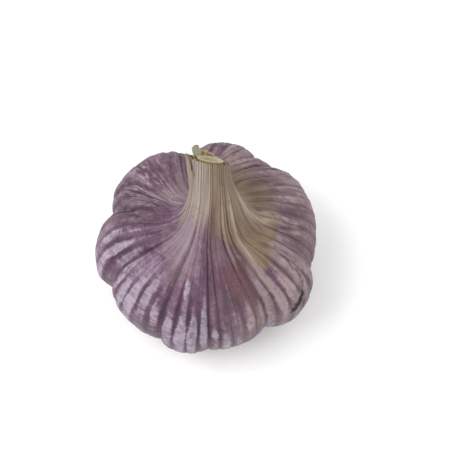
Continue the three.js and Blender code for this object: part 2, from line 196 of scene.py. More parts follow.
def smooth(low, high, x):
    """S curve from 0 at low to 1 at high: u squared times (3 - 2u), with u held between 0 and 1."""
    u = np.clip((x - low) / (high - low), 0, 1)
    return u * u * (3 - 2 * u)


def bell(x, width):
    """Bell curve: e to the power of minus the square of x over the width."""
    return np.exp(-((x / width) ** 2))


def window(x, start, full, fade, end):
    """1 in a stretch of x and 0 outside it: an S curve from start to full, less one from fade to end."""
    return smooth(start, full, x) * (1 - smooth(fade, end, x))


def at(k):
    """Share of the way along the outline of its point number k."""
    return k / LAST


def rise(share, start, full):
    """An S curve of the share of the outline, with its two places as numbers of outline points."""
    return smooth(at(start), at(full), share)


def stretch(share, start, full, fade, end):
    """A window on the outline, with its four places as numbers of outline points."""
    return window(share, at(start), at(full), at(fade), at(end))


def vectors(*parts):
    """Arrays of coordinates that fit each other, joined into one array of vectors."""
    return np.stack(np.broadcast_arrays(*parts), -1)


def turn(start, end):
    """Degrees from one azimuth to another the short way round."""
    return (end - start + 180) % 360 - 180


def ribs_between(start, end):
    """Ribs from one place to another the short way round."""
    return (end - start + RIBS / 2) % RIBS - RIBS / 2


def circle(azimuth):
    """Points on a level circle of radius 1: cosine and sine of the azimuth."""
    return vectors(np.cos(np.radians(azimuth)), np.sin(np.radians(azimuth)), 0)


def outline(share):
    """Radius and height at a share of the outline: a Catmull-Rom spline through its points."""
    place = np.clip(share, 0, 1) * LAST
    k = np.minimum(place.astype(int), LAST - 1)
    w = (place - k)[..., None]
    p0, p1, p2, p3 = (OUTLINE[np.clip(k + step, 0, LAST)] for step in (-1, 0, 1, 2))
    v0, v1 = (p2 - p0) / 2, (p3 - p1) / 2
    return ((2 * p1 - 2 * p2 + v0 + v1) * w + (-3 * p1 + 3 * p2 - 2 * v0 - v1)) * w * w + v0 * w + p1


def lattice(i, j, k, seed):
    """A repeatable random number from -1 to 1 for each whole-numbered place: its numbers times large
    primes, joined by exclusive or, then shifted and multiplied twice."""
    mask = np.uint64(0xFFFFFFFF)
    h = (i * 73856093) ^ (j * 19349663) ^ (k * 83492791) ^ (seed * 40503 + 977)
    h = h.astype(np.uint64) & mask
    h = ((h ^ (h >> np.uint64(13))) * np.uint64(1274126177)) & mask
    h = ((h ^ (h >> np.uint64(15))) * np.uint64(2246822519)) & mask
    return (h ^ (h >> np.uint64(16))).astype(float) / 2**31 - 1


def noise(points, seed):
    """Smooth noise from -1 to 1: random numbers at unit cubes' corners, blended with S curves."""
    cell = np.floor(points).astype(np.int64)
    f = points - cell
    f = f * f * (3 - 2 * f)
    total = 0
    for corner in itertools.product((0, 1), repeat=3):
        weight = np.prod([np.where(far, f[..., k], 1 - f[..., k]) for k, far in enumerate(corner)], 0)
        total = total + weight * lattice(*(cell[..., k] + far for k, far in enumerate(corner)), seed)
    return total


def round_ribs(rib, along):
    """Seamless coordinates for noise that follows the ribs: a circle with one rib to the unit, and the
    length along them."""
    angle = rib / RIBS * 2 * math.pi
    radius = RIBS / (2 * math.pi)
    return vectors(radius * np.cos(angle), radius * np.sin(angle), along)


def length_along(share):
    """Millimetres along the outline from its start, from 400 short chords."""
    steps = np.linspace(0, 1, 401)
    chords = np.linalg.norm(np.diff(outline(steps), axis=0), axis=1)
    return np.interp(share, steps, np.concatenate([[0], np.cumsum(chords)]))


def azimuth_of(rib):
    """Azimuth of a place counted in ribs: evenly spaced, plus two slow waves."""
    even = rib / RIBS * 360
    waves = 2 * np.sin(np.radians(3 * even + 40)) + 1.1 * np.sin(np.radians(7 * even + 110))
    return FIRST_RIB + even + waves


def slid(rib, share):
    """Azimuth of a place counted in ribs once the left lobe's ribs have slid over it: a bell curve of the
    azimuth, times a window above the belly."""
    azimuth = azimuth_of(rib)
    slide = SLIDE * bell(turn(SLIDE_AZIMUTH, azimuth), SLIDE_WIDTH)
    return azimuth + slide * stretch(share, 9.2, 12.5, 13.3, 15.5)


def swung(azimuth, share):
    """Azimuth that a rib swings to on its way into the neck: a sum of bell curves of its own azimuth."""
    swing = sum(degrees * bell(turn(place, azimuth), width) for place, width, degrees in SWINGS)
    return azimuth + swing * rise(share, 9.5, 13)


def valley(azimuth, width=7):
    """How much of a valley between cloves an azimuth lies in, with each valley's own depth: a sum of peaks,
    each e to the power of minus the distance over the width, itself to the power of 1.3."""
    return sum(clove[1] * np.exp(-(np.abs(turn(clove[0], azimuth)) / width) ** 1.3) for clove in CLOVES)


def puff(azimuth):
    """How far the cloves push the skin out: a flat-topped arch over each clove, less the valleys between.
    The arch falls from its crest by the share of the way to the clove's side, to the power of 2.3."""
    out = -valley(azimuth)
    for k, (start, _, level, crest, bulge) in enumerate(CLOVES):
        after = CLOVES[(k + 1) % len(CLOVES)]
        across = (azimuth - start) % 360 / ((after[0] - start) % 360)
        before_crest = across < crest
        side = np.where(before_crest, crest, 1 - crest)
        low = np.where(before_crest, level, after[2])
        arch = bulge - (bulge - low) * np.abs((across - crest) / side) ** 2.3
        out = out + np.where(across < 1, arch, 0)
    return out


def lean(points):
    """Leans the straight bulb's points back with the neck: the height above the bend runs along a curved
    centre line, found by adding up short steps of sine and cosine of its slope, and points go square out
    from it."""
    x, y, z = np.moveaxis(points, -1, 0)
    steps = np.linspace(LEAN_FROM, LEAN_TO + 20, 241)
    slope = np.radians(LEAN_ANGLE) * smooth(LEAN_FROM, LEAN_TO, steps)
    mean = (slope[1:] + slope[:-1]) / 2
    step = steps[1] - steps[0]
    back = np.concatenate([[0], np.cumsum(np.sin(mean) * step)])
    up = np.concatenate([[0], np.cumsum(np.cos(mean) * step)]) + LEAN_FROM
    angle = np.interp(z, steps, slope)
    aside = LEAN_ASIDE * smooth(LEAN_FROM, LEAN_TO, z)
    high = np.where(z < LEAN_FROM, z, np.interp(z, steps, up)) - y * np.sin(angle)
    return vectors(x + aside, np.interp(z, steps, back) + y * np.cos(angle), np.maximum(0, high))


def slant(x, y, z):
    """The knife's slope: it lowers the back and the right of the neck's end."""
    return z - (CUT_RIGHT * x + CUT_BACK * y) * smooth(45, 56, z)


def neck_ring(radius, azimuth, height, on_cut=1.0):
    """A ring round the neck's axis: radius times cosine and sine of the azimuth, at a height, leaned with
    the neck. It follows the knife's slope by the share on_cut."""
    x, y = radius * np.cos(np.radians(azimuth)), radius * np.sin(np.radians(azimuth))
    return lean(vectors(x, y, height + on_cut * (slant(x, y, height) - height)))


def strip(azimuth):
    """The uncut strip's share of the neck's outer skin at an azimuth: a bell curve."""
    return bell(turn(PEEL_AZIMUTH, azimuth), PEEL_WIDTH)


def torn(azimuth, rib):
    """How far below the strip's end the outer skin ends, as a share of the outline: the cut, a wedge for
    the slit, and breaks of noise."""
    slit = np.maximum(0, 1 - np.abs(turn(SLIT_AZIMUTH, azimuth)) / SLIT_WIDTH)
    cut = (OUTLINE[LAST][1] - CUT_HEIGHT) * (1 - strip(azimuth))
    place = round_ribs(rib, 3)
    ragged = 0.18 + 0.16 * noise(place * 0.8, 31) + 0.1 * noise(place * 3.1, 32)
    return (cut + SLIT_DEPTH * slit + ragged) / (OUTLINE[LAST][1] - OUTLINE[LAST - 1][1]) / LAST


def marks(kind, rib, along):
    """Sum of soft oval spots, each a bell curve of its own size, with edges made wavy by moving the place
    with noise."""
    place = round_ribs(rib, along)
    rib = rib + 0.45 * noise(place * (0.7, 0.7, 0.25), 21)
    along = along + 2.2 * noise(place * (1.1, 1.1, 0.2), 22)
    return sum(
        strength * np.exp(-((ribs_between(at_rib, rib) / wide) ** 2) - ((along - at_mm) / long) ** 2)
        for at_rib, at_mm, wide, long, strength in MARKS[kind]
    )


def tear_place(rib, along):
    """Millimetres along and across the tear, which runs aslant over the ribs, and its half width there,
    that of an ellipse. Its edge wanders with noise."""
    x, y = ribs_between(TEAR_RIB, rib) * RIB_MM, along - TEAR_ALONG
    c, s = math.cos(math.radians(TEAR_SLANT)), math.sin(math.radians(TEAR_SLANT))
    wander = 0.45 * noise(vectors(x, y, 0) * 0.9, 23) + 0.45 * noise(vectors(x, y, 0) * 2.4, 24)
    long = x * c + y * s
    width = TEAR_WIDTH * np.sqrt(np.maximum(0, 1 - (long / TEAR_LENGTH) ** 2))
    return long, np.abs(y * c - x * s + wander), width


def tear_hole(rib, along):
    """How far inside the tear a place is, from 0 to 1: an S curve of the distance from its edge."""
    long, across, width = tear_place(rib, along)
    return smooth(-0.12, 0.3, width - across) * (np.abs(long) < TEAR_LENGTH)


def tear_lip(rib, along):
    """The raised lip round the tear: a narrow bell curve of the distance from its edge."""
    long, across, width = tear_place(rib, along)
    return bell(across - width - 0.35, 0.4) * np.exp(-((long / (TEAR_LENGTH * 1.1)) ** 6))


def cracks(rib, along):
    """Thin dark cracks that run nearly along the ribs: bell curves across straight lines, which wander a
    little with noise."""
    place = vectors(along * 0.5, 0, 0)
    wander = 0.2 * noise(place, 25) + 0.1 * noise(place * 4, 26)
    total = 0
    for at_rib, slope, start, end in CRACKS:
        across = ribs_between(at_rib + slope * (along - (start + end) / 2), rib) + wander
        edge = min(2.0, (end - start) / 2)
        total = total + bell(across, 0.12) * window(along, start, start + edge, end - edge, end)
    return np.clip(total, 0, 1)


def split(rib, along):
    """The lower end of the split in the neck's outer skin: a slanting wedge that narrows downwards."""
    down = (SPLIT_TOP - along) / (SPLIT_TOP - SPLIT_END)
    across = np.abs(ribs_between(SPLIT_RIB + SPLIT_RIBS * down, rib))
    wide = 0.8 * np.clip(1 - down, 0, 1) + 0.1
    return smooth(0.35, 0, across - wide) * smooth(-0.9, -0.6, down) * smooth(1.05, 0.95, down)


def ridges(rib, share):
    """Height of the pinched ridges and creases: each a bell curve across, on a straight line in ribs from
    its lower place to its upper one, rising and falling on S curves at its ends. Creases have a small
    wander."""
    total = 0
    wander = 0.15 * noise(round_ribs(rib, 90 * share) * (0.3, 0.3, 0.25), 29)
    for low, high, wide, height, start, end in RIDGES:
        place = low + ribs_between(low, high) * (share - at(start)) / (at(end) - at(start))
        place = place + wander * (height < 0)
        part = stretch(share, start, start + 1.5, end - 1.5, end)
        total = total + height * bell(ribs_between(place, rib), wide) * part
    return total


def slack(rib, along):
    """Where the skin hangs loose and folds: the valley on the left, and lobes behind and to the right."""
    return np.clip(marks("slack", rib, along), 0, 1)


def folds(rib, along):
    """Long narrow creases along the ribs, as heights below 0: bell curves of stretched noise, which dip
    along its zero lines."""
    place = round_ribs(rib, along)
    lines = noise(place * (0.75, 0.75, 0.06), 27)
    fine = noise(place * (1.5, 1.5, 0.1), 28)
    return -0.7 * bell(lines, 0.16) - 0.45 * bell(fine, 0.16)


def groove(rib, along):
    """How strong the groove nearest a place is, from 0 to 1. Each groove has its own strength, which
    changes slowly along it; nearly half of them run out before the neck; and some places have faint or
    firm ones."""
    number = (np.floor(rib + 0.5) % RIBS).astype(int)
    luck = 0.5 + 0.5 * lattice(number, 0, 0, 53)
    slow = np.clip(0.8 + 0.6 * noise(vectors(number * 1.7, along / 14, 0), 3), 0.1, 1)
    start = 54 + 8 * noise(vectors(number * 2.3, 0, 0), 54)
    runs_out = smooth(0.6, 0.4, luck) * window(along, start, start + 9, 82, 90)
    strength = slow * (0.5 + 0.5 * luck) * (1 - 0.9 * runs_out) + marks("firm", rib, along)
    return np.clip(strength, 0, 1) * (1 - np.clip(marks("faint", rib, along), 0, 0.9))


def skin_form(rib, share, settings):
    """Points of the skin in millimetres, at places given in ribs and shares of the outline.

    Each point starts on the half outline, with the web added to its radius, and moves out along the
    outline's normal. It moves by the sum of the clove arches, the rounded ribs, a narrow crease between
    ribs, crumples that follow the ribs, loose folds, slow waves, the ridges, the tear, the cracks and the
    split. It is then turned to its azimuth, cut on the slant and leaned back with the neck.
    """
    azimuth = slid(rib, share)
    radius, height = np.moveaxis(outline(share), -1, 0)
    step = outline(np.minimum(share + 1e-3, 1)) - outline(np.maximum(share - 1e-3, 0))
    dr, dz = np.moveaxis(step / np.linalg.norm(step, axis=-1, keepdims=True), -1, 0)
    along = length_along(share)
    place = round_ribs(rib, along)

    cloves = rise(share, 2.5, 5.5) * (1 - 0.35 * rise(share, 9.5, 11.5)) * (1 - rise(share, 11, 13.6))
    web = WEB_REACH * bell(turn(WEB_AZIMUTH, azimuth), WEB_WIDTH) * stretch(share, 10.5, 13.5, 13.4, 17)
    ends = rise(share, 3, 6)
    body = ends * (1 - rise(share, 12.5, 15))
    loose = slack(rib, along) * body

    strength = groove(rib, along)
    arch = 1 - strength * np.abs(2 * (rib % 1) - 1) ** 2.4
    ribs = ends * (1 - 0.55 * rise(share, 10, 14))
    to_groove = np.abs((rib + 0.5) % 1 - 0.5)
    crease = strength * np.exp(-((to_groove / 0.08) ** 1.5)) * (1 - 0.5 * rise(share, 12, 15))
    crumple = 0.13 * noise(place * (0.9, 0.9, 0.22), 5) + 0.07 * noise(place * (2.6, 2.6, 0.3), 6)
    crumple = crumple + 0.1 * noise(place * (1.3, 1.3, 0.75), 7) + 0.06 * noise(place * (2.4, 2.4, 1.5), 10)
    waves = 0.4 * noise(place * (0.2, 0.2, 0.11), 8)

    out = puff(azimuth) * cloves + settings.rib_height / MM * (arch - 0.6) * ribs
    crease = -settings.crease_depth / MM * crease
    out = out + (crease + crumple * (0.35 + 0.65 * body + 0.8 * loose) + waves * body) * ends
    out = out + (0.75 * loose + 0.2 * body) * folds(rib, along) + ridges(rib, share)
    out = out + settings.tear_depth / MM * (0.3 * tear_lip(rib, along) - tear_hole(rib, along))
    out = out - 0.3 * cracks(rib, along) - 0.3 * split(rib, along)
    r = radius + web + out * dz + PEEL_OUT * strip(swung(azimuth, 1)) * rise(share, 15.3, LAST)
    z = height - out * dr
    sway = 0.9 * noise(place * (0.35, 0.35, 0.09), 9) * body
    angle = np.radians(swung(azimuth, share) + sway)
    x, y = r * np.cos(angle), r * np.sin(angle)
    return lean(vectors(x, y, slant(x, y, z)))


# --------------------------------------------- meshes


def grid_corners(rings, sides):
    """Ring number and column number of each face corner between rings of points, the columns counted on
    past the seam, so that the column after the last one is `sides`. Seen from outside, each face runs
    round anticlockwise."""
    k, i = (axis.ravel() for axis in np.meshgrid(np.arange(rings - 1), np.arange(sides), indexing="ij"))
    return vectors(k, k, k + 1, k + 1), vectors(i, i + 1, i + 1, i)


def tube(rings, sides):
    """Four-sided faces between rings of points, as point numbers counted ring by ring."""
    ring, column = grid_corners(rings, sides)
    return ring * sides + column % sides


def fans(sides, first, last, first_centre, last_centre):
    """Triangles round the centre point at each end of a tube. First and last are the numbers of the first
    point of its first and last ring; columns of them make fans for many tubes."""
    here = np.arange(sides)
    after = (here + 1) % sides
    below = vectors(first_centre, first + after, first + here)
    above = vectors(last_centre, last + here, last + after)
    return np.concatenate([below, above]).reshape(-1, 3)


def add_mesh(name, points, quads, triangles=np.zeros((0, 3), int), corner_uv=None, fields=None, sharp=60):
    """A mesh object in metres from points in millimetres and faces as rows of point numbers. Fields are one
    number or one vector for each point."""
    mesh = bpy.data.meshes.new(name)
    corners = np.concatenate([quads.ravel(), triangles.ravel()]).astype(np.int32)
    starts = np.concatenate([np.arange(len(quads)) * 4, len(quads) * 4 + np.arange(len(triangles)) * 3])
    mesh.vertices.add(len(points))
    mesh.vertices.foreach_set("co", (points * MM).astype(np.float32).ravel())
    mesh.loops.add(len(corners))
    mesh.loops.foreach_set("vertex_index", corners)
    mesh.polygons.add(len(starts))
    mesh.polygons.foreach_set("loop_start", starts.astype(np.int32))
    mesh.update(calc_edges=True)
    if mesh.validate():
        raise RuntimeError(name + " has faces that can't be used")
    if corner_uv is not None:
        layer = mesh.uv_layers.new(name="skin")
        layer.data.foreach_set("uv", corner_uv.astype(np.float32).ravel())
    for field, values in (fields or {}).items():
        kind, slot = ("FLOAT_VECTOR", "vector") if values.ndim == 2 else ("FLOAT", "value")
        mesh.attributes.new(field, kind, "POINT").data.foreach_set(slot, values.astype(np.float32).ravel())
    mesh.shade_smooth()
    mesh.set_sharp_from_angle(angle=math.radians(sharp))
    piece = bpy.data.objects.new(name, mesh)
    bpy.context.scene.collection.objects.link(piece)
    return piece


def closed_piece(name, rings, first, last, rib, along, fields, sharp=60):
    """A closed surface from rings of points, with a centre point closing each end. Its UV map holds the
    place in ribs and the millimetres along; each field is given for every ring point, and is carried on
    to the two centres as the mean of the nearest ring."""
    count, sides = rings.shape[:2]
    ring, column = grid_corners(count, sides)
    i = np.arange(sides)
    pole_columns = np.concatenate([vectors(i, i + 1, i), vectors(i, i, i + 1)])
    pole_rings = np.repeat([0, count - 1], sides)[:, None]
    ribs = np.append(rib, RIBS)
    widened = np.concatenate([along, along[:, :1]], 1)
    uv = np.concatenate([
        vectors(ribs[column], widened[ring, column]).reshape(-1, 2),
        vectors(ribs[pole_columns], widened[pole_rings, pole_columns]).reshape(-1, 2),
    ])
    carried = {
        field: np.concatenate([np.concatenate(values), values[:1].mean(1), values[-1:].mean(1)])
        for field, values in fields.items()
    }
    points = np.concatenate([rings.reshape(-1, 3), [first], [last]])
    triangles = fans(sides, 0, (count - 1) * sides, count * sides, count * sides + 1)
    return add_mesh(name, points, tube(count, sides), triangles, uv, carried, sharp)


def rows_along(start, end, rows, dense_at, dense_width):
    """Shares of the outline for rows that are evenly spaced in millimetres, and about twice as close
    where it is dense."""
    steps = np.linspace(start, end, 2001)
    along = length_along(steps)
    weight = 1 + 1.2 * bell(along - dense_at, dense_width)
    total = np.concatenate([[0], np.cumsum((weight[1:] + weight[:-1]) / 2 * np.diff(along))])
    return np.interp(np.linspace(0, total[-1], rows), total, steps)


def skin_fields(rib, share, along):
    """Where each finish of the skin lies, as a number for each point: marks, windows in the length along
    the skin, bell curves of the azimuth, and noise."""
    azimuth = slid(rib, share)
    place = round_ribs(rib, along)
    drift = 2.2 * noise(place * (0.8, 0.8, 0.05), 34) + 1.2 * noise(place * (2.6, 2.6, 0.1), 35)
    # foot: 1 low on the bulb, fading out upwards. It wears the ribs to pale paper there and greys the skin,
    # partly duller paper and partly painted shade of the underside.
    foot = 1 - smooth(26, 46, along + 2.5 * drift)
    # The dull skin right of the neck reaches further down behind it.
    behind = 5 * bell(turn(62, azimuth), 26)
    flank = bell(turn(28, azimuth), 50) * smooth(58, 71, along + 1.2 * drift + behind)
    neck = smooth(73, 84, along + 1.5 * drift + 5 * bell(turn(18, azimuth), 44))
    # Painted shade of the hollow right of the neck; the painted shadow at the neck's foot is added to it
    # below.
    hollow_shade = bell(turn(22, azimuth), 38) * window(along, 60, 67, 75, 83)
    # right: 1 on the right-hand side, 0 on the left; among its colours it darkens the neck's straw on the
    # side away from the key light, painted shade.
    right = 0.5 + 0.5 * np.sin(np.radians(azimuth - 276)) + 0.1 * drift
    loose = slack(rib, along)
    height = ridges(rib, share)
    fields = {kind: marks(kind, rib, along) for kind in ("worn", "cream", "deep", "blush", "stain", "rosy")}
    fields["worn"] += 0.45 * foot + 0.3 * smooth(0.1, 0.7, noise(place * (0.35, 0.35, 0.07), 36))
    fields["deep"] += 0.5 * smooth(0.0, 0.7, noise(place * (0.3, 0.3, 0.08), 37))
    return {
        **fields,
        "fibre": place,
        "neck": neck,
        "flank": flank,
        "split": split(rib, along),
        "foot": foot,
        "right": right + marks("browner", rib, along),
        # Painted shade in the valleys between cloves, fading out towards the neck.
        "valley": np.clip(valley(azimuth, 9) / 3, 0, 1) * (1 - smooth(70, 82, along)),
        # Painted shade: the depth of the loose folds, which darkens their creases.
        "folds": -folds(rib, along) * (0.3 + 0.7 * loose),
        "tear": tear_hole(rib, along),
        "lip": tear_lip(rib, along),
        "groove": groove(rib, along),
        # Painted highlight on the pinched ridges' crests, as strong as the ridge is high.
        "ridge_highlight": np.clip(2 * height, 0, 1),
        # Painted shade in the pressed-in creases, together with the real dark cracks.
        "crease": np.clip(-2 * height + cracks(rib, along), 0, 1),
        "slack": loose,
        "hollow_shade": 0.3 * hollow_shade + marks("dusk", rib, along),
    }


def skin_surface(settings):
    """The bulb's skin from the hollow underneath up to the neck's cut edge, over the edge as two thin
    leaves, and down inside the neck."""
    columns = np.arange(RIBS * settings.columns_a_rib) / settings.columns_a_rib
    shares = rows_along(at(2), 1.0, settings.rows, TEAR_ALONG, 4)
    rib, share = np.broadcast_arrays(columns[None, :], shares[:, None])
    turned = swung(azimuth_of(columns), 1)
    fall = torn(turned, columns)
    share = share - fall * rise(share, 14, LAST)
    along = length_along(share)

    edge = outline(1 - fall)[:, 1]
    ragged = 0.3 * np.maximum(0, noise(round_ribs(columns, 5) * 1.4, 33))
    inner = []
    for k, (beyond, drop) in enumerate(LEAVES):
        radius = POCKET_RADIUS + beyond + PEEL_OUT * strip(turned) * (1 - 0.3 * k / len(LEAVES))
        inner.append(neck_ring(radius, turned, edge - drop - ragged * (k > 1)))
    inner.append(neck_ring(POCKET_RADIUS, turned, POCKET_FLOOR, 0))
    rings = np.concatenate([skin_form(rib, share, settings), inner]) + AXIS

    extra = len(inner)
    rib = np.concatenate([rib, rib[:extra]])
    along = np.concatenate([along, along[-1] + np.linspace(0.3, 6, extra)[:, None]])
    share = np.concatenate([share, np.ones((extra, len(columns)))])
    first = np.array([0, 0, OUTLINE[0][1]]) + AXIS
    last = lean(np.array([0, 0, POCKET_FLOOR])) + AXIS
    return closed_piece("garlic_skin", rings, first, last, columns, along, skin_fields(rib, share, along))


def sheath_surface(settings):
    """The dry sheath inside the neck: a thin tube from the pocket's floor up to a ragged edge that stands
    highest at the back, with one shred left standing. The edge's height is the sum of a cosine round the
    neck and its square, the shred's flat-topped window, a bell curve and noise. Rings run up the outside,
    over the edge and down the inside."""
    sides = 240
    azimuth = np.arange(sides) / sides * 360
    around = circle(azimuth)
    back = np.maximum(0, np.cos(np.radians(turn(SHEATH_BACK, azimuth))))
    shred = smooth(23, 19, np.abs(turn(SHRED_AZIMUTH, azimuth) + 3 * noise(around * 6, 41)))
    ragged = 0.2 + 0.22 * noise(around * 5, 42) + 0.2 * noise(around * 16, 43)
    left = bell(turn(SHEATH_LEFT, azimuth), 26)
    stands = 0.35 * (back - 0.2) + 1.5 * back**2 + 1.5 * shred + 0.45 * left
    top = CUT_HEIGHT + stands + settings.sheath_raggedness * ragged
    wave = 0.12 * noise(around * 3, 44) + 0.06 * noise(around * 9, 45)
    flare = 0.4 + 0.6 * shred - 0.1 * back + wave
    # Share of the way from the pocket's floor to the edge, up the outside and down the inside.
    up = np.concatenate([np.linspace(0, 0.6, 4), np.linspace(0.7, 1, 9)])
    rings, along = [], []
    for share, inside in [(share, 0) for share in up] + [(share, 1) for share in up[::-1]]:
        wall = np.interp(share, [0, 0.8, 1], [0.6, 0.42, 0.14])
        radius = POCKET_RADIUS - GAP - 0.12 + flare * smooth(0.72, 1, share) - wall * inside
        height = CUT_FOOT + (top - CUT_FOOT) * share - 0.04 * inside
        rings.append(neck_ring(radius, azimuth, height, smooth(0.2, 0.8, share)))
        along.append(np.full(sides, share * SHEATH_LENGTH))
    along = np.array(along)
    ring, column = grid_corners(len(rings) + 1, sides)
    quads = (ring % len(rings)) * sides + column % sides
    fields = {
        "fibre": vectors(12 * around[:, 0], 12 * around[:, 1], along).reshape(-1, 3),
        "shred": (shred * smooth(5.5, 8.2, along)).ravel(),
        "edge": smooth(8, 9, along).ravel(),
    }
    return add_mesh("leaf_sheath", np.concatenate(rings) + AXIS, quads, fields=fields, sharp=70)


def stalk_surface(settings):
    """The cut flower stalk: a round rod whose cut face has a firm rim and a slightly sunk pith. The face's
    height is the rim's less a smooth dish, plus fine noise where the knife broke the fibres. The field out
    is the share of the radius on the face, and 1.1 down the side."""
    sides = 160
    top, foot = STALK_TOP, CUT_FOOT
    azimuth = np.arange(sides) / sides * 360
    around = circle(azimuth)
    uneven = 1 + 0.02 * noise(around * 2, 46)
    # Share of the radius, and height, of each ring up the side. More rings then run in over the face.
    side = [
        (1, foot), (1, foot + 3), (1, top - 1.8), (1.06, top - 0.9), (1.13, top - 0.25), (1.12, top - 0.08),
        (1.09, top),
    ]
    rings, share_out = [], []
    for share, height in side:
        on_cut = smooth(foot + 3, top - 1, height)
        rings.append(neck_ring(STALK_RADIUS * share * uneven, azimuth, height, on_cut))
        share_out.append(np.full(sides, 1.1))
    for share in np.linspace(1.04, 0.06, 22):
        broken = 0.05 * noise(around * share * 5, 47) + 0.03 * noise(around * share * 14, 48)
        height = top - settings.pith_depth / MM * smooth(0.94, 0.6, share) + broken
        rings.append(neck_ring(STALK_RADIUS * share * uneven, azimuth, height))
        share_out.append(share + 0.05 * noise(around * 3, 49))
    rings, out = np.array(rings) + AXIS, np.array(share_out)
    first = lean(np.array([0, 0, foot])) + AXIS
    fields = {"face": around * np.clip(out, 0, 1)[..., None] * 3, "out": out}
    rib = azimuth / 360 * RIBS
    return closed_piece("stalk_rod", rings, first, rings[-1].mean(0), rib, out * 3, fields, 50)


def root_plate_form():
    """The root plate's rings of points, from its lower middle round its rim to its upper middle: a disc
    whose radius and height carry noise."""
    profile = np.array([
        (0.3, PLATE_BOTTOM), (2, 1.52), (3.6, 1.6), (5, 1.66), (5.9, 1.8), (6.4, 2.05), (6.6, 2.4),
        (6.45, 2.8), (6.2, PLATE_TOP), (4, PLATE_TOP), (1, PLATE_TOP),
    ])
    sides = 90
    x, y = circle(np.arange(sides) / sides * 360).T[:2]
    r, z = profile[:, :1], profile[:, 1:]
    lumps = noise(vectors(r * x, r * y, z) * 0.9, 51)
    # The widest ring has no lumps.
    z = np.minimum(PLATE_TOP, z + 0.16 * lumps * (r < profile[:, 0].max()))
    r = r * (1 + 0.02 * noise(vectors(3 * x, 3 * y, z), 52))
    return vectors(r * x, r * y, z)


def root_form(count, root_radius, seed, turns, rows):
    """Rings of points for each trimmed root, and its centre line. Each root is a tapered tube on a curved
    line from the plate outwards and down, cut off short above the floor. The places follow a sunflower
    spiral: the angle is 137.5 degrees times the root's number, and the radius grows as the number's square
    root. The seed sets how much each root differs from the rest."""
    random = np.random.default_rng(seed)
    number = np.arange(count) + 0.5
    start_radius = ROOTS_RADIUS * np.sqrt(number / count)
    angle = np.radians(number * GOLDEN_TURN) + random.normal(0, 0.12, count)
    thick = root_radius * random.uniform(0.6, 1.1, count)
    length = random.uniform(0.9, 2.0, count) + 0.5 * (start_radius / 6)
    splay = np.radians(random.uniform(15, 75, count)) * (0.25 + 0.75 * start_radius / 6)
    side = random.normal(0, 0.35, count)

    share = np.linspace(0, 1, rows)
    cosine, sine = np.cos(angle)[:, None], np.sin(angle)[:, None]
    reach = length[:, None] * share
    droop = splay[:, None] * (1 - 0.25 * share)
    out = start_radius[:, None] + np.sin(droop) * reach
    around = side[:, None] * share * reach
    height = np.maximum(0.16, ROOTS_START - np.cos(droop) * reach)
    centre = vectors(out * cosine - around * sine, out * sine + around * cosine, height)
    # Each ring lies across its root: one arm level and square to it, one arm square to both.
    level = vectors(-sine, cosine, 0)[:, :, None]
    rising = vectors(cosine * np.cos(droop), sine * np.cos(droop), np.sin(droop))[:, :, None]
    turned = circle(np.arange(turns) / turns * 360)
    arm = level * turned[:, :1] + rising * turned[:, 1:2]
    roots = centre[:, :, None] + arm * (thick[:, None] * (1 - 0.35 * share))[..., None, None]
    roots[..., 2] = np.maximum(0.04, roots[..., 2])
    return roots, centre


def root_surface(settings):
    """The root plate with its trimmed roots, as closed shells in one mesh. The field tip runs from 0 on the
    plate to 1 at the roots' cut ends."""
    plate = root_plate_form()
    count, turns, rows = settings.root_count, 6, 4
    roots, centre = root_form(count, settings.root_radius / MM, settings.root_seed, turns, rows)
    rings, sides = plate.shape[:2]
    ends = [[0, 0, PLATE_BOTTOM], [0, 0, PLATE_TOP]]
    points = [plate.reshape(-1, 3), ends, roots.reshape(-1, 3), centre[:, 0], centre[:, -1]]
    base = rings * sides + len(ends)
    begin = base + np.arange(count)[:, None] * rows * turns
    head = base + count * rows * turns + np.arange(count)[:, None]
    quads = [tube(rings, sides), (begin[..., None] + tube(rows, turns)).reshape(-1, 4)]
    triangles = [
        fans(sides, 0, (rings - 1) * sides, base - 2, base - 1),
        fans(turns, begin, begin + (rows - 1) * turns, head, head + count),
    ]
    along = np.broadcast_to(np.linspace(0, 1, rows)[:, None], (count, rows, turns))
    tip = np.concatenate([np.zeros(base), along.ravel(), np.zeros(count), np.ones(count)])
    points, quads, triangles = (np.concatenate(parts) for parts in (points, quads, triangles))
    return add_mesh("root_disc", points + AXIS, quads, triangles, fields={"tip": tip})


# --------------------------------------------- finishes


def tint(red, green, blue):
    """A colour given from 0 to 255 as a screen shows it, as the linear light that materials take."""
    shown = np.array([red, green, blue]) / 255
    linear = np.where(shown <= 0.04045, shown / 12.92, ((shown + 0.055) / 1.055) ** 2.4)
    return tuple(float(part) for part in linear)


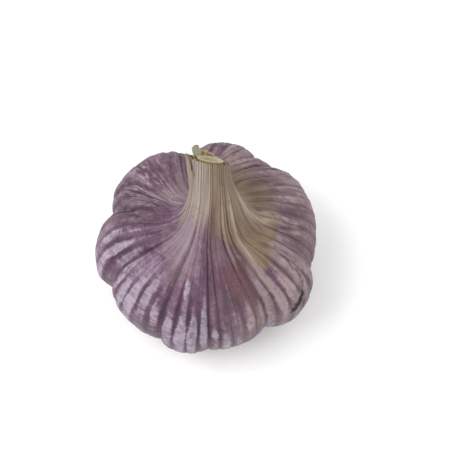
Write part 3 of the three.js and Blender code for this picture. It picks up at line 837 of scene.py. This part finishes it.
class Finish:
    """A material being made. Each method adds one step to its nodes and gives back that step's output."""

    def __init__(self, name):
        self.material = bpy.data.materials.new(name)
        self.material.use_nodes = True
        self.tree = self.material.node_tree
        self.tree.nodes.clear()
        self.surface = self.tree.nodes.new("ShaderNodeBsdfPrincipled")
        output = self.tree.nodes.new("ShaderNodeOutputMaterial")
        self.tree.links.new(self.surface.outputs["BSDF"], output.inputs["Surface"])

    def feed(self, socket, value):
        """Joins an output to a socket, or sets the socket to a plain value."""
        if isinstance(value, bpy.types.NodeSocket):
            self.tree.links.new(value, socket)
        elif socket.type == "RGBA":
            socket.default_value = (*value, 1.0)
        else:
            socket.default_value = value

    def node(self, kind, *values, **settings):
        """A node of a kind, with its settings and its first inputs."""
        node = self.tree.nodes.new("ShaderNode" + kind)
        for name, setting in settings.items():
            setattr(node, name, setting)
        for socket, value in zip(node.inputs, values):
            self.feed(socket, value)
        return node

    def field(self, name, output="Fac"):
        """One of the piece's own attributes: a number with output Fac, three with output Vector."""
        return self.node("Attribute", attribute_name=name).outputs[output]

    def place(self):
        """Object coordinates, in metres."""
        return self.node("TexCoord").outputs["Object"]

    def math(self, operation, a, b=0.0):
        """One sum on two numbers."""
        return self.node("Math", a, b, operation=operation).outputs[0]

    def times(self, a, b):
        """One number times another."""
        return self.math("MULTIPLY", a, b)

    def total(self, *terms, start=0.0):
        """Start plus the sum of weight times value for each (value, weight)."""
        for value, weight in terms:
            start = self.node("Math", value, weight, start, operation="MULTIPLY_ADD").outputs[0]
        return start

    def step(self, value, low, high, to_low=0.0, to_high=1.0):
        """S curve from to_low where the value is low to to_high where it is high."""
        node = self.node("MapRange", value, low, high, to_low, to_high, interpolation_type="SMOOTHSTEP")
        return node.outputs[0]

    def patch(self, start, reach, most, *terms):
        """Share of a patch: an S curve of start plus the weighted sum of terms, from 0 to most at reach."""
        return self.step(self.total(*terms, start=start), 0.0, reach, 0.0, most)

    def noise(self, vector, scale, detail=2.0, seed=0.0, rough=0.5):
        """Noise from about 0.2 to 0.8 at a vector times a scale for each axis, moved along by a seed."""
        node = self.node("Mapping", vector)
        node.inputs["Scale"].default_value = scale
        node.inputs["Location"].default_value = (seed * 3.7, seed * 5.3, seed * 7.1)
        grain = self.node("TexNoise", node.outputs[0])
        grain.inputs["Scale"].default_value = 1.0
        grain.inputs["Detail"].default_value = detail
        grain.inputs["Roughness"].default_value = rough
        return grain.outputs["Fac"]

    def mix(self, share, a, b, blend="MIX"):
        """Colour a with the given share of colour b."""
        node = self.node("Mix", share, data_type="RGBA", blend_type=blend)
        self.feed(node.inputs[6], a)
        self.feed(node.inputs[7], b)
        return node.outputs[2]

    def relief(self, height, strength):
        """Bump from a height in millimetres."""
        node = self.node("Bump", strength)
        node.inputs["Distance"].default_value = MM
        self.feed(node.inputs["Height"], height)
        self.feed(self.surface.inputs["Normal"], node.outputs[0])

    def set(self, **values):
        """Sets sockets of the surface, with _ for a space in their names."""
        for name, value in values.items():
            self.feed(self.surface.inputs[name.replace("_", " ")], value)


def skin_finish(c):
    """Dried garlic skin: purple paper in fine streaks with dark lines between its ribs, worn to pale
    paper on the ribs low down, straw-coloured on the neck, with brown stains where it was wet."""
    f = Finish("garlic_paper")
    fibre = f.field("fibre", "Vector")
    skin_map = f.node("UVMap", uv_map="skin").outputs[0]
    rib = f.node("SeparateXYZ", skin_map).outputs[0]
    neck, right, groove = (f.field(name) for name in ("neck", "right", "groove"))

    wide = f.noise(fibre, (0.38, 0.38, 0.08), 2, 1)
    hue = f.noise(fibre, (0.55, 0.55, 0.13), 2, 21)
    wander = f.noise(fibre, (0.45, 0.45, 0.14), 2, 2)
    streak = f.noise(fibre, (3.4, 3.4, 0.09), 4, 3, 0.62)
    thread = f.noise(fibre, (11, 11, 0.3), 3, 4, 0.6)
    mottle = f.noise(fibre, (1.7, 1.7, 0.75), 5, 5, 0.68)
    cross = f.noise(fibre, (1.1, 1.1, 3.2), 4, 6, 0.65)
    speck = f.noise(fibre, (7, 7, 3.5), 3, 7, 0.65)
    # Crumples that cross the ribs aslant. They raise the relief, and the colour follows them: painted light
    # on their crests, painted shade in their troughs.
    slanted = f.node("Mapping", f.place())
    slanted.inputs["Rotation"].default_value = (0, 0, math.radians(38))
    crumple = f.noise(slanted.outputs[0], (130, 620, 420), 4, 22, 0.62)

    # 0 in the middle of a rib, 1 on the line between two.
    moved = f.total((wander, 0.22), (mottle, 0.08), start=f.math("ADD", rib, -0.15))
    across = f.math("ABSOLUTE", f.total((f.math("FRACT", moved), 2.0), start=-1.0))
    number = f.math("MODULO", f.math("FLOOR", moved), float(RIBS))
    rib_luck = f.node("TexWhiteNoise", noise_dimensions="1D")
    f.feed(rib_luck.inputs["W"], number)
    rib_luck = rib_luck.outputs["Value"]
    broken = f.step(f.total((mottle, 1.0), (cross, 0.5), start=-0.25), 0.3, 0.62, 1.0, 0.55)
    line = f.step(across, f.total((mottle, -0.16), (neck, -0.3), start=0.94), 0.985)
    line = f.times(line, f.times(broken, f.step(groove, 0.0, 0.7)))
    # Deeper purple beside each groove: partly purple left in the grooves, partly painted shade of the rounded
    # ribs.
    groove_purple_and_shade = f.times(f.step(across, 0.25, 1.0), groove)
    to_side = f.step(across, 0.3, 0.95)

    # Tone from 0, deepest purple, to 1, lilac.
    tone = f.total((wide, 1.1), (streak, 1.2), (mottle, 1.5), (cross, 0.45), start=-2.22)
    # Painted light: lighter tone on the crumples' crests.
    tone = f.total((crumple, 0.9), (thread, 0.3), start=tone)
    tone = f.total((f.field("deep"), -0.5), (groove_purple_and_shade, -0.65), (rib_luck, 0.24), start=tone)
    skin = f.mix(f.step(tone, -0.15, 0.5), c.deep, c.purple)
    skin = f.mix(f.step(tone, 0.45, 1.15), skin, c.lilac)
    skin = f.mix(f.step(hue, 0.45, 0.68, 0.0, 0.6), skin, f.mix(f.step(tone, 0.0, 1.0), c.plum, c.lilac))
    skin = f.mix(f.times(f.step(wide, 0.35, 0.65, 0.2, 0.8), f.step(right, 0.35, 0.95)), skin, c.ruddy)
    rosy = f.patch(-0.6, 0.8, 0.75, (f.field("rosy"), 1.0), (streak, 0.8), (mottle, 0.4))
    skin = f.mix(rosy, skin, c.rosy)

    # Pale paper shows where the coloured skin has worn off the ribs, with edges torn crosswise.
    bare = f.field("worn")
    worn = f.total((bare, 0.95), (to_side, -0.75), (cross, 0.75), (mottle, 0.9), (speck, 0.3), start=-1.42)
    worn = f.total((rib_luck, 0.2), (streak, 0.5), start=worn)
    worn = f.times(f.step(worn, 0.0, 0.45, 0.0, 0.95), f.step(bare, 0.08, 0.5, 0.15, 1.0))
    # The pale paper's darker threads, with painted shade in the crumples' troughs.
    pale = f.mix(f.step(f.total((mottle, 0.6), (crumple, 0.4)), 0.36, 0.62), c.pale_shade, c.pale)
    skin = f.mix(worn, skin, pale)
    cream = f.field("cream")
    creamy = f.patch(-0.5, 0.55, 0.85, (cream, 1.0), (to_side, -0.65), (streak, 0.5), (mottle, 0.6))
    cream = f.mix(f.step(f.total((mottle, 0.5), (streak, 0.5)), 0.38, 0.6), c.cream_shade, c.cream)
    skin = f.mix(creamy, skin, cream)
    # Painted highlights on loose, crinkled skin: short pale strokes along the crinkles' edges.
    stroke = f.step(f.noise(fibre, (4.2, 4.2, 0.42), 3, 24, 0.6), 0.5, 0.64, 0.0, 0.75)
    skin = f.mix(f.times(stroke, f.field("slack")), skin, c.stroke)

    # Stains, the dull skin right of the neck, painted highlights on the ridges' crests, the straw-coloured
    # neck with painted shade on its right side, and red-brown patches.
    stain = f.patch(-0.58, 0.7, 0.88, (f.field("stain"), 1.0), (streak, 0.5), (mottle, 0.4))
    skin = f.mix(stain, skin, f.mix(f.step(streak, 0.3, 0.62), c.stain_dark, c.stain))
    flank = f.patch(-0.32, 0.9, 0.88, (f.field("flank"), 1.0), (streak, 0.35), (mottle, 0.3))
    skin = f.mix(flank, skin, f.mix(f.step(streak, 0.3, 0.65), c.flank_dark, c.flank))
    # Painted highlight on the ridges' crests: crinkle-pale on the left-hand side, straw-pale on the right.
    crest = f.mix(f.step(right, 0.3, 0.7), c.stroke, c.ridge_highlight)
    skin = f.mix(f.times(f.field("ridge_highlight"), 0.65), skin, crest)
    # The neck's right-hand side is browner and darker: partly its own colour, partly painted shade of the
    # side away from the key light.
    straw = f.mix(f.step(right, 0.3, 0.75), c.straw, c.straw_brown_and_shade)
    straw = f.mix(f.step(streak, 0.3, 0.62, 0.55, 0.0), straw, c.straw_dark)
    # The same painted highlight on the neck's ridges.
    straw = f.mix(f.times(f.field("ridge_highlight"), 0.75), straw, c.ridge_highlight)
    neck_share = f.patch(-0.35, 0.95, 1.0, (neck, 1.0), (streak, 0.4), (mottle, 0.3))
    skin = f.mix(neck_share, skin, straw)
    blush = f.patch(-0.95, 0.8, 0.85, (f.field("blush"), 1.0), (mottle, 0.9), (cross, 0.8))
    scratch = f.mix(f.step(cross, 0.35, 0.55, 0.4, 0.0), c.blush, c.line)
    scratch = f.mix(f.step(speck, 0.52, 0.7, 0.0, 0.35), scratch, c.rosy)
    skin = f.mix(blush, skin, scratch)
    # Grey towards the bottom: partly duller paper, partly painted shade of the underside.
    skin = f.mix(f.times(f.field("foot"), 0.6), skin, c.foot)

    # Dark lines at the edges of ribs and fine threads, the skin's own colour; then painted shade in the
    # folds, the crumples' troughs, the pressed-in creases and the valleys between cloves. The creases' mix
    # also darkens the real cracks.
    dark = f.mix(neck_share, c.line, c.line_brown)
    hazy = f.step(f.field("flank"), 0.2, 0.9, 1.0, 0.55)
    for share in (
        f.times(line, f.times(hazy, 0.9)),
        f.times(f.step(thread, 0.36, 0.24, 0.0, 0.4), f.step(streak, 0.62, 0.35)),
        f.times(f.field("folds"), f.times(hazy, 0.75)),
        f.step(crumple, 0.44, 0.3, 0.0, 0.35),
        f.times(f.field("crease"), f.step(mottle, 0.3, 0.5, 0.95, 0.6)),
    ):
        skin = f.mix(share, skin, dark)
    # Painted shade in the valleys between cloves.
    skin = f.mix(f.times(f.field("valley"), 0.3), skin, c.shade, "MULTIPLY")
    # Painted shade in the hollow right of the neck and at the neck's foot.
    hollow_shade = f.times(f.field("hollow_shade"), f.step(streak, 0.3, 0.6, 0.45, 0.2))
    skin = f.mix(hollow_shade, skin, c.hollow_shade, "MULTIPLY")
    skin = f.mix(f.times(f.field("lip"), 0.35), skin, c.pale)
    skin = f.mix(f.field("split"), skin, c.vein)
    torn = f.field("tear")
    inside = f.mix(f.step(f.total((torn, 0.8), (mottle, 1.2)), 1.1, 1.5), c.tear, c.tear_floor)
    skin = f.mix(f.step(torn, 0.1, 0.5), skin, inside)

    rough = f.total((worn, 0.1), (mottle, 0.3), (neck_share, 0.05), start=0.5)
    height = f.total((line, -0.06), (streak, 0.14), (thread, 0.05), (cross, 0.06), (mottle, 0.1))
    f.relief(f.total((worn, -0.02), (crumple, 0.22), start=height), 0.9)
    f.set(Base_Color=skin, Roughness=rough, Specular_IOR_Level=0.25, Sheen_Weight=0.08, Sheen_Roughness=0.5)
    return f.material


def sheath_finish(c):
    """Dry leaf sheath: golden brown with darker veins running up it, and a grey-green shred."""
    f = Finish("dry_sheath")
    fibre = f.field("fibre", "Vector")
    vein = f.noise(fibre, (2.2, 2.2, 0.12), 4, 11, 0.6)
    mottle = f.noise(fibre, (0.7, 0.7, 0.6), 4, 12, 0.6)
    colour = f.mix(f.step(vein, 0.36, 0.62), c.vein, c.gold)
    colour = f.mix(f.step(mottle, 0.5, 0.68, 0.0, 0.5), colour, c.cream)
    colour = f.mix(f.step(f.field("edge"), 0.5, 1.0, 0.0, 0.5), colour, c.cream)
    shred = f.step(f.total((f.field("shred"), 1.0), (mottle, 0.5), start=-0.25), 0.1, 0.6)
    colour = f.mix(shred, colour, f.mix(f.step(vein, 0.35, 0.65), c.shred_dark, c.shred))
    f.relief(f.total((vein, 0.14), (mottle, 0.05)), 0.8)
    f.set(Base_Color=colour, Roughness=f.total((mottle, 0.3), start=0.5), Specular_IOR_Level=0.3)
    return f.material


def stalk_finish(c):
    """Cut flower stalk: a cream rim round a pale green pith flecked with bundles of fibre."""
    f = Finish("cut_stalk")
    face, out = f.field("face", "Vector"), f.field("out")
    grain = f.noise(face, (3.5, 3.5, 3.5), 4, 13, 0.65)
    fleck = f.noise(face, (9, 9, 9), 2, 14)
    edge = f.total((out, 1.0), (grain, 0.25), start=-0.125)
    pith = f.mix(f.step(grain, 0.35, 0.65), c.pith, c.pith_pale)
    colour = f.mix(f.step(edge, 0.3, 0.6), pith, c.pith_pale)
    colour = f.mix(f.step(edge, 0.6, 0.85), colour, c.rim)
    colour = f.mix(f.step(fleck, 0.6, 0.72, 0.0, 0.45), colour, c.rim)
    colour = f.mix(f.step(edge, 1.04, 1.12, 0.0, 0.7), colour, c.gold)
    f.relief(f.total((grain, 0.08), (fleck, 0.06)), 0.8)
    f.set(Base_Color=colour, Roughness=f.total((grain, 0.3), start=0.4), Specular_IOR_Level=0.4)
    f.set(Subsurface_Weight=0.1, Subsurface_Radius=(0.6, 0.8, 0.4), Subsurface_Scale=0.6 * MM)
    return f.material


def root_finish(c):
    """Root plate: dry brown wood, with roots that pale towards their trimmed ends."""
    f = Finish("root_wood")
    place = f.place()
    grain = f.noise(place, (900, 900, 260), 4, 15, 0.65)
    patch = f.noise(place, (220, 220, 220), 3, 16)
    colour = f.mix(f.step(grain, 0.36, 0.64), c.root_dark, c.root)
    colour = f.mix(f.step(f.field("tip"), 0.35, 1.0, 0.0, 0.6), colour, c.root_pale)
    colour = f.mix(f.step(patch, 0.5, 0.7, 0.0, 0.4), colour, c.root_dark)
    f.relief(f.total((grain, 0.16)), 0.8)
    f.set(Base_Color=colour, Roughness=f.total((grain, 0.2), start=0.7), Specular_IOR_Level=0.25)
    return f.material


# --------------------------------------------- what a user can change


def colour_choice(name, description, red, green, blue):
    """A colour property with its default given as a screen shows it."""
    default = tint(red, green, blue)
    return bpy.props.FloatVectorProperty(
        name=name, description=description, default=default, subtype="COLOR", size=3, min=0, max=1
    )


def number_choice(name, description, default, least=0):
    """A whole number property."""
    return bpy.props.IntProperty(name=name, description=description, default=default, min=least)


def length_choice(name, description, default, least=0.0):
    """A length property in metres."""
    return bpy.props.FloatProperty(
        name=name, description=description, default=default, min=least, unit="LENGTH"
    )


def power_choice(name, description, default):
    """A property for a light's power in watts."""
    return bpy.props.FloatProperty(name=name, description=description, default=default, min=0, unit="POWER")


class GarlicSkinSettings(bpy.types.PropertyGroup):
    """Sizes and colours of the papery skin."""

    rib_height: length_choice("Rib height", "How far a rib of the skin stands out", 0.00026)
    crease_depth: length_choice("Crease depth", "Depth of the narrow crease between ribs", 0.00014)
    tear_depth: length_choice("Tear depth", "Depth of the tear in the front lobe", 0.0009)
    columns_a_rib: number_choice("Columns a rib", "Mesh columns across a rib", 12, 4)
    rows: number_choice("Rows", "Mesh rows from the root plate to the cut", 148, 20)
    deep: colour_choice("Deep purple", "Darkest colour of the skin", 72, 50, 68)
    purple: colour_choice("Purple", "Middle colour of the skin", 103, 76, 96)
    lilac: colour_choice("Lilac", "Lightest colour of the purple skin", 144, 122, 141)
    plum: colour_choice("Plum", "Redder purple of some patches", 100, 62, 84)
    rosy: colour_choice("Rose grey", "Pale skin below the neck", 146, 127, 134)
    ruddy: colour_choice("Ruddy brown", "Browner purple of the right-hand side", 118, 96, 96)
    pale: colour_choice("Pale paper", "Paper under the worn purple", 167, 156, 170)
    # Also the painted shade in the crumples' troughs on pale paper.
    pale_shade: colour_choice("Pale paper shade", "Darker threads of the pale paper", 132, 113, 131)
    cream: colour_choice("Cream skin", "Paler skin at the right", 160, 144, 142)
    cream_shade: colour_choice("Cream skin shade", "Darker threads of the paler skin", 130, 108, 114)
    # Painted highlight on crinkled skin and on the crests of ridges on the left-hand side.
    stroke: colour_choice("Crinkle", "Light edges of crinkled skin", 164, 146, 152)
    hollow_shade: colour_choice("Hollow shade", "What hollows near the neck darken to", 206, 196, 186)
    blush: colour_choice("Red-brown patch", "Colour of the red-brown patches", 101, 69, 72)
    stain: colour_choice("Stain", "Light part of the brown stains", 133, 113, 87)
    stain_dark: colour_choice("Stain shade", "Dark part of the brown stains", 103, 85, 67)
    straw: colour_choice("Straw", "Dry paper of the neck", 158, 145, 134)
    # Partly the neck's own browner colour, partly painted shade of its right-hand side.
    straw_brown_and_shade: colour_choice("Brown straw", "Browner side of the neck", 135, 117, 98)
    straw_dark: colour_choice("Straw shade", "Dark streaks of the neck", 104, 90, 78)
    # Partly duller paper, partly painted shade of the bulb's underside.
    foot: colour_choice("Foot", "Dull paper near the foot", 138, 130, 132)
    # Painted highlight on the crests of the pinched ridges.
    ridge_highlight: colour_choice("Pinched ridge", "Worn crests of the ridges on the skin", 174, 160, 142)
    flank: colour_choice("Dull skin", "Dull brown skin right of the neck", 130, 112, 89)
    flank_dark: colour_choice("Dull skin shade", "Dark streaks of the dull skin", 106, 88, 72)
    vein: colour_choice("Split", "Inside of the split in the neck", 112, 90, 58)
    line: colour_choice("Line", "Lines between the ribs of the bulb", 66, 44, 58)
    line_brown: colour_choice("Neck line", "Lines between the ribs of the neck", 84, 68, 56)
    shade: colour_choice("Valley shade", "What valleys between cloves darken to", 96, 76, 88)
    tear: colour_choice("Tear", "Dark edge inside the tear", 56, 46, 38)
    tear_floor: colour_choice("Tear floor", "Inner skin that the tear shows", 120, 108, 78)


class GarlicCutSettings(bpy.types.PropertyGroup):
    """Sizes and colours of what shows in the neck's cut end."""

    sheath_raggedness: bpy.props.FloatProperty(
        name="Sheath raggedness", description="How ragged the sheath's edge is", default=0.9, min=0, max=2
    )
    pith_depth: length_choice("Pith depth", "How far the stalk's pith sinks below its rim", 0.00035)
    gold: colour_choice("Golden brown", "Dry sheath", 158, 132, 84)
    vein: colour_choice("Vein", "Darker veins of the sheath", 104, 84, 52)
    cream: colour_choice("Cream", "Thin edge of the sheath", 196, 184, 146)
    shred: colour_choice("Grey-green shred", "Shred left standing", 168, 168, 148)
    shred_dark: colour_choice("Shred shade", "Darker veins of the shred", 132, 130, 104)
    rim: colour_choice("Rim", "Firm rim of the stalk", 168, 157, 130)
    pith_pale: colour_choice("Pale pith", "Outer part of the stalk's pith", 142, 140, 108)
    pith: colour_choice("Green pith", "Middle of the stalk", 112, 111, 74)


class GarlicRootSettings(bpy.types.PropertyGroup):
    """Sizes and colours of the root plate."""

    root_count: number_choice("Roots", "Number of trimmed roots", 190, 1)
    root_radius: length_choice("Root radius", "Radius of a root where it leaves the plate", 0.00026)
    root_seed: number_choice("Seed", "Seed of the roots' lengths and directions", 7)
    root: colour_choice("Root brown", "Plate and roots", 150, 130, 102)
    root_dark: colour_choice("Dark brown", "Hollows of the plate", 92, 76, 60)
    root_pale: colour_choice("Root tip", "Trimmed ends of the roots", 186, 170, 140)


class GarlicStageSettings(bpy.types.PropertyGroup):
    """The floor and the light."""

    floor_width: length_choice("Floor width", "Width of the square floor", 3.0, 0.2)
    floor_colour: colour_choice("Floor", "Colour of the floor", 250, 250, 250)
    key_power: power_choice("Key light", "Power of the large light at the upper left", 3.2)
    fill_power: power_choice("Fill light", "Power of the weak light from the right", 0.8)
    sky_strength: bpy.props.FloatProperty(
        name="Sky", description="Strength of the even light from all round", default=0.95, min=0
    )


# --------------------------------------------- operators


def dress(piece, material, node):
    """Gives a piece its material, and lets it stand for its solid on the bulb's one body."""
    piece.data.materials.append(material)
    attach(piece, "root")
    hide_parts(node)


class GARLIC_OT_make_skin(bpy.types.Operator):
    """Make the bulb's ribbed papery skin with its neck"""

    bl_idname = "garlic.make_skin"
    bl_label = "Papery skin"

    def execute(self, context):
        settings = context.scene.garlic_skin
        dress(skin_surface(settings), skin_finish(settings), "bulb")
        return {"FINISHED"}


class GARLIC_OT_make_sheath(bpy.types.Operator):
    """Make the dry leaf sheath inside the neck"""

    bl_idname = "garlic.make_sheath"
    bl_label = "Inner sheath"

    def execute(self, context):
        settings = context.scene.garlic_cut
        dress(sheath_surface(settings), sheath_finish(settings), "inner_sheath")
        return {"FINISHED"}


class GARLIC_OT_make_stalk(bpy.types.Operator):
    """Make the cut flower stalk"""

    bl_idname = "garlic.make_stalk"
    bl_label = "Flower stalk"

    def execute(self, context):
        settings = context.scene.garlic_cut
        dress(stalk_surface(settings), stalk_finish(settings), "flower_stalk")
        return {"FINISHED"}


class GARLIC_OT_make_roots(bpy.types.Operator):
    """Make the root plate and its trimmed roots"""

    bl_idname = "garlic.make_roots"
    bl_label = "Root plate"

    def execute(self, context):
        settings = context.scene.garlic_roots
        dress(root_surface(settings), root_finish(settings), "root_plate")
        return {"FINISHED"}


def make_floor(width, colour):
    """A square floor of eight by eight level faces, with a faint grain."""
    squares = 8
    side = np.linspace(-width / 2 / MM, width / 2 / MM, squares + 1)
    points = vectors(side, side[:, None], 0).reshape(-1, 3)
    row, column = grid_corners(squares + 1, squares)
    floor = add_mesh("floor", points, row * (squares + 1) + column)
    f = Finish("pale_floor")
    grain = f.noise(f.place(), (60, 60, 60), 3, 17)
    f.set(Base_Color=f.mix(f.step(grain, 0.3, 0.7, 0.0, 0.03), tuple(colour), (1, 1, 1)), Roughness=0.8)
    floor.data.materials.append(f.material)


def area_light(name, place, size, power):
    """A square light at a place in metres that faces the bulb's middle."""
    light = bpy.data.lights.new(name, "AREA")
    light.size = size
    light.energy = power
    lamp = bpy.data.objects.new(name, light)
    lamp.location = place
    lamp.rotation_euler = (Vector(LIGHT_AIM) - lamp.location).to_track_quat("-Z", "Y").to_euler()
    bpy.context.scene.collection.objects.link(lamp)


def aimed_camera():
    """A camera in front of the bulb and above it, turned a little to its right and up, so that the bulb
    sits left of the view's middle and below it."""
    camera = bpy.data.cameras.new("camera")
    camera.lens = 84
    camera.sensor_width = 36
    camera.clip_start = 0.01
    focus = camera.lens / camera.sensor_width * PICTURE_WIDTH
    height = math.radians(CAMERA_HEIGHT)
    back = Vector((0, -math.cos(height), math.sin(height)))
    ahead, right = -back, Vector((1, 0, 0))
    aside = Matrix.Rotation(-math.atan2(TURN_RIGHT, focus), 3, right.cross(ahead))
    ahead, right = aside @ ahead, aside @ right
    ahead = Matrix.Rotation(math.atan2(TURN_UP, focus), 3, right) @ ahead
    turned = Matrix((right, right.cross(ahead), -ahead)).transposed()
    place = Vector(AXIS * MM) + Vector((0, 0, AIM_HEIGHT)) + CAMERA_REACH * back
    rig = bpy.data.objects.new("camera", camera)
    rig.matrix_world = Matrix.LocRotScale(place, turned.to_quaternion(), None)
    bpy.context.scene.collection.objects.link(rig)
    return rig


class GARLIC_OT_make_stage(bpy.types.Operator):
    """Make the floor, the soft studio light and the camera"""

    bl_idname = "garlic.make_stage"
    bl_label = "Studio stage"

    def execute(self, context):
        settings = context.scene.garlic_stage
        make_floor(settings.floor_width, settings.floor_colour)
        area_light("key_light", (-0.45, -0.1, 0.62), 0.5, settings.key_power)
        area_light("fill_light", (0.6, -0.35, 0.4), 0.6, settings.fill_power)
        world = bpy.data.worlds.new("studio")
        world.use_nodes = True
        sky = world.node_tree.nodes["Background"]
        sky.inputs["Color"].default_value = (1, 1, 1, 1)
        sky.inputs["Strength"].default_value = settings.sky_strength
        context.scene.world = world
        context.scene.view_settings.view_transform = "Standard"
        context.scene.camera = aimed_camera()
        return {"FINISHED"}


class GARLIC_PT_panel(bpy.types.Panel):
    """Lists the garlic bulb's pieces and their sizes and colours"""

    bl_idname = "GARLIC_PT_panel"
    bl_label = "Garlic Bulb"
    bl_space_type = "VIEW_3D"
    bl_region_type = "UI"
    bl_category = "Garlic"

    def draw(self, context):
        for operators, settings in (
            ((GARLIC_OT_make_skin,), context.scene.garlic_skin),
            ((GARLIC_OT_make_sheath, GARLIC_OT_make_stalk), context.scene.garlic_cut),
            ((GARLIC_OT_make_roots,), context.scene.garlic_roots),
            ((GARLIC_OT_make_stage,), context.scene.garlic_stage),
        ):
            box = self.layout.box()
            for operator in operators:
                box.operator(operator.bl_idname)
            for name in settings.__annotations__:
                box.prop(settings, name)


SETTINGS = {
    "garlic_skin": GarlicSkinSettings,
    "garlic_cut": GarlicCutSettings,
    "garlic_roots": GarlicRootSettings,
    "garlic_stage": GarlicStageSettings,
}
CLASSES = (
    *SETTINGS.values(),
    GARLIC_OT_make_skin,
    GARLIC_OT_make_sheath,
    GARLIC_OT_make_stalk,
    GARLIC_OT_make_roots,
    GARLIC_OT_make_stage,
    GARLIC_PT_panel,
)


def register():
    for item in CLASSES:
        bpy.utils.register_class(item)
    for name, group in SETTINGS.items():
        setattr(bpy.types.Scene, name, bpy.props.PointerProperty(type=group))


def unregister():
    for name in SETTINGS:
        delattr(bpy.types.Scene, name)
    for item in reversed(CLASSES):
        bpy.utils.unregister_class(item)


def main():
    """Registers the classes and makes every piece and the stage."""
    register()
    bpy.ops.garlic.make_skin()
    bpy.ops.garlic.make_sheath()
    bpy.ops.garlic.make_stalk()
    bpy.ops.garlic.make_roots()
    bpy.ops.garlic.make_stage()


if __name__ == "__main__":
    main()
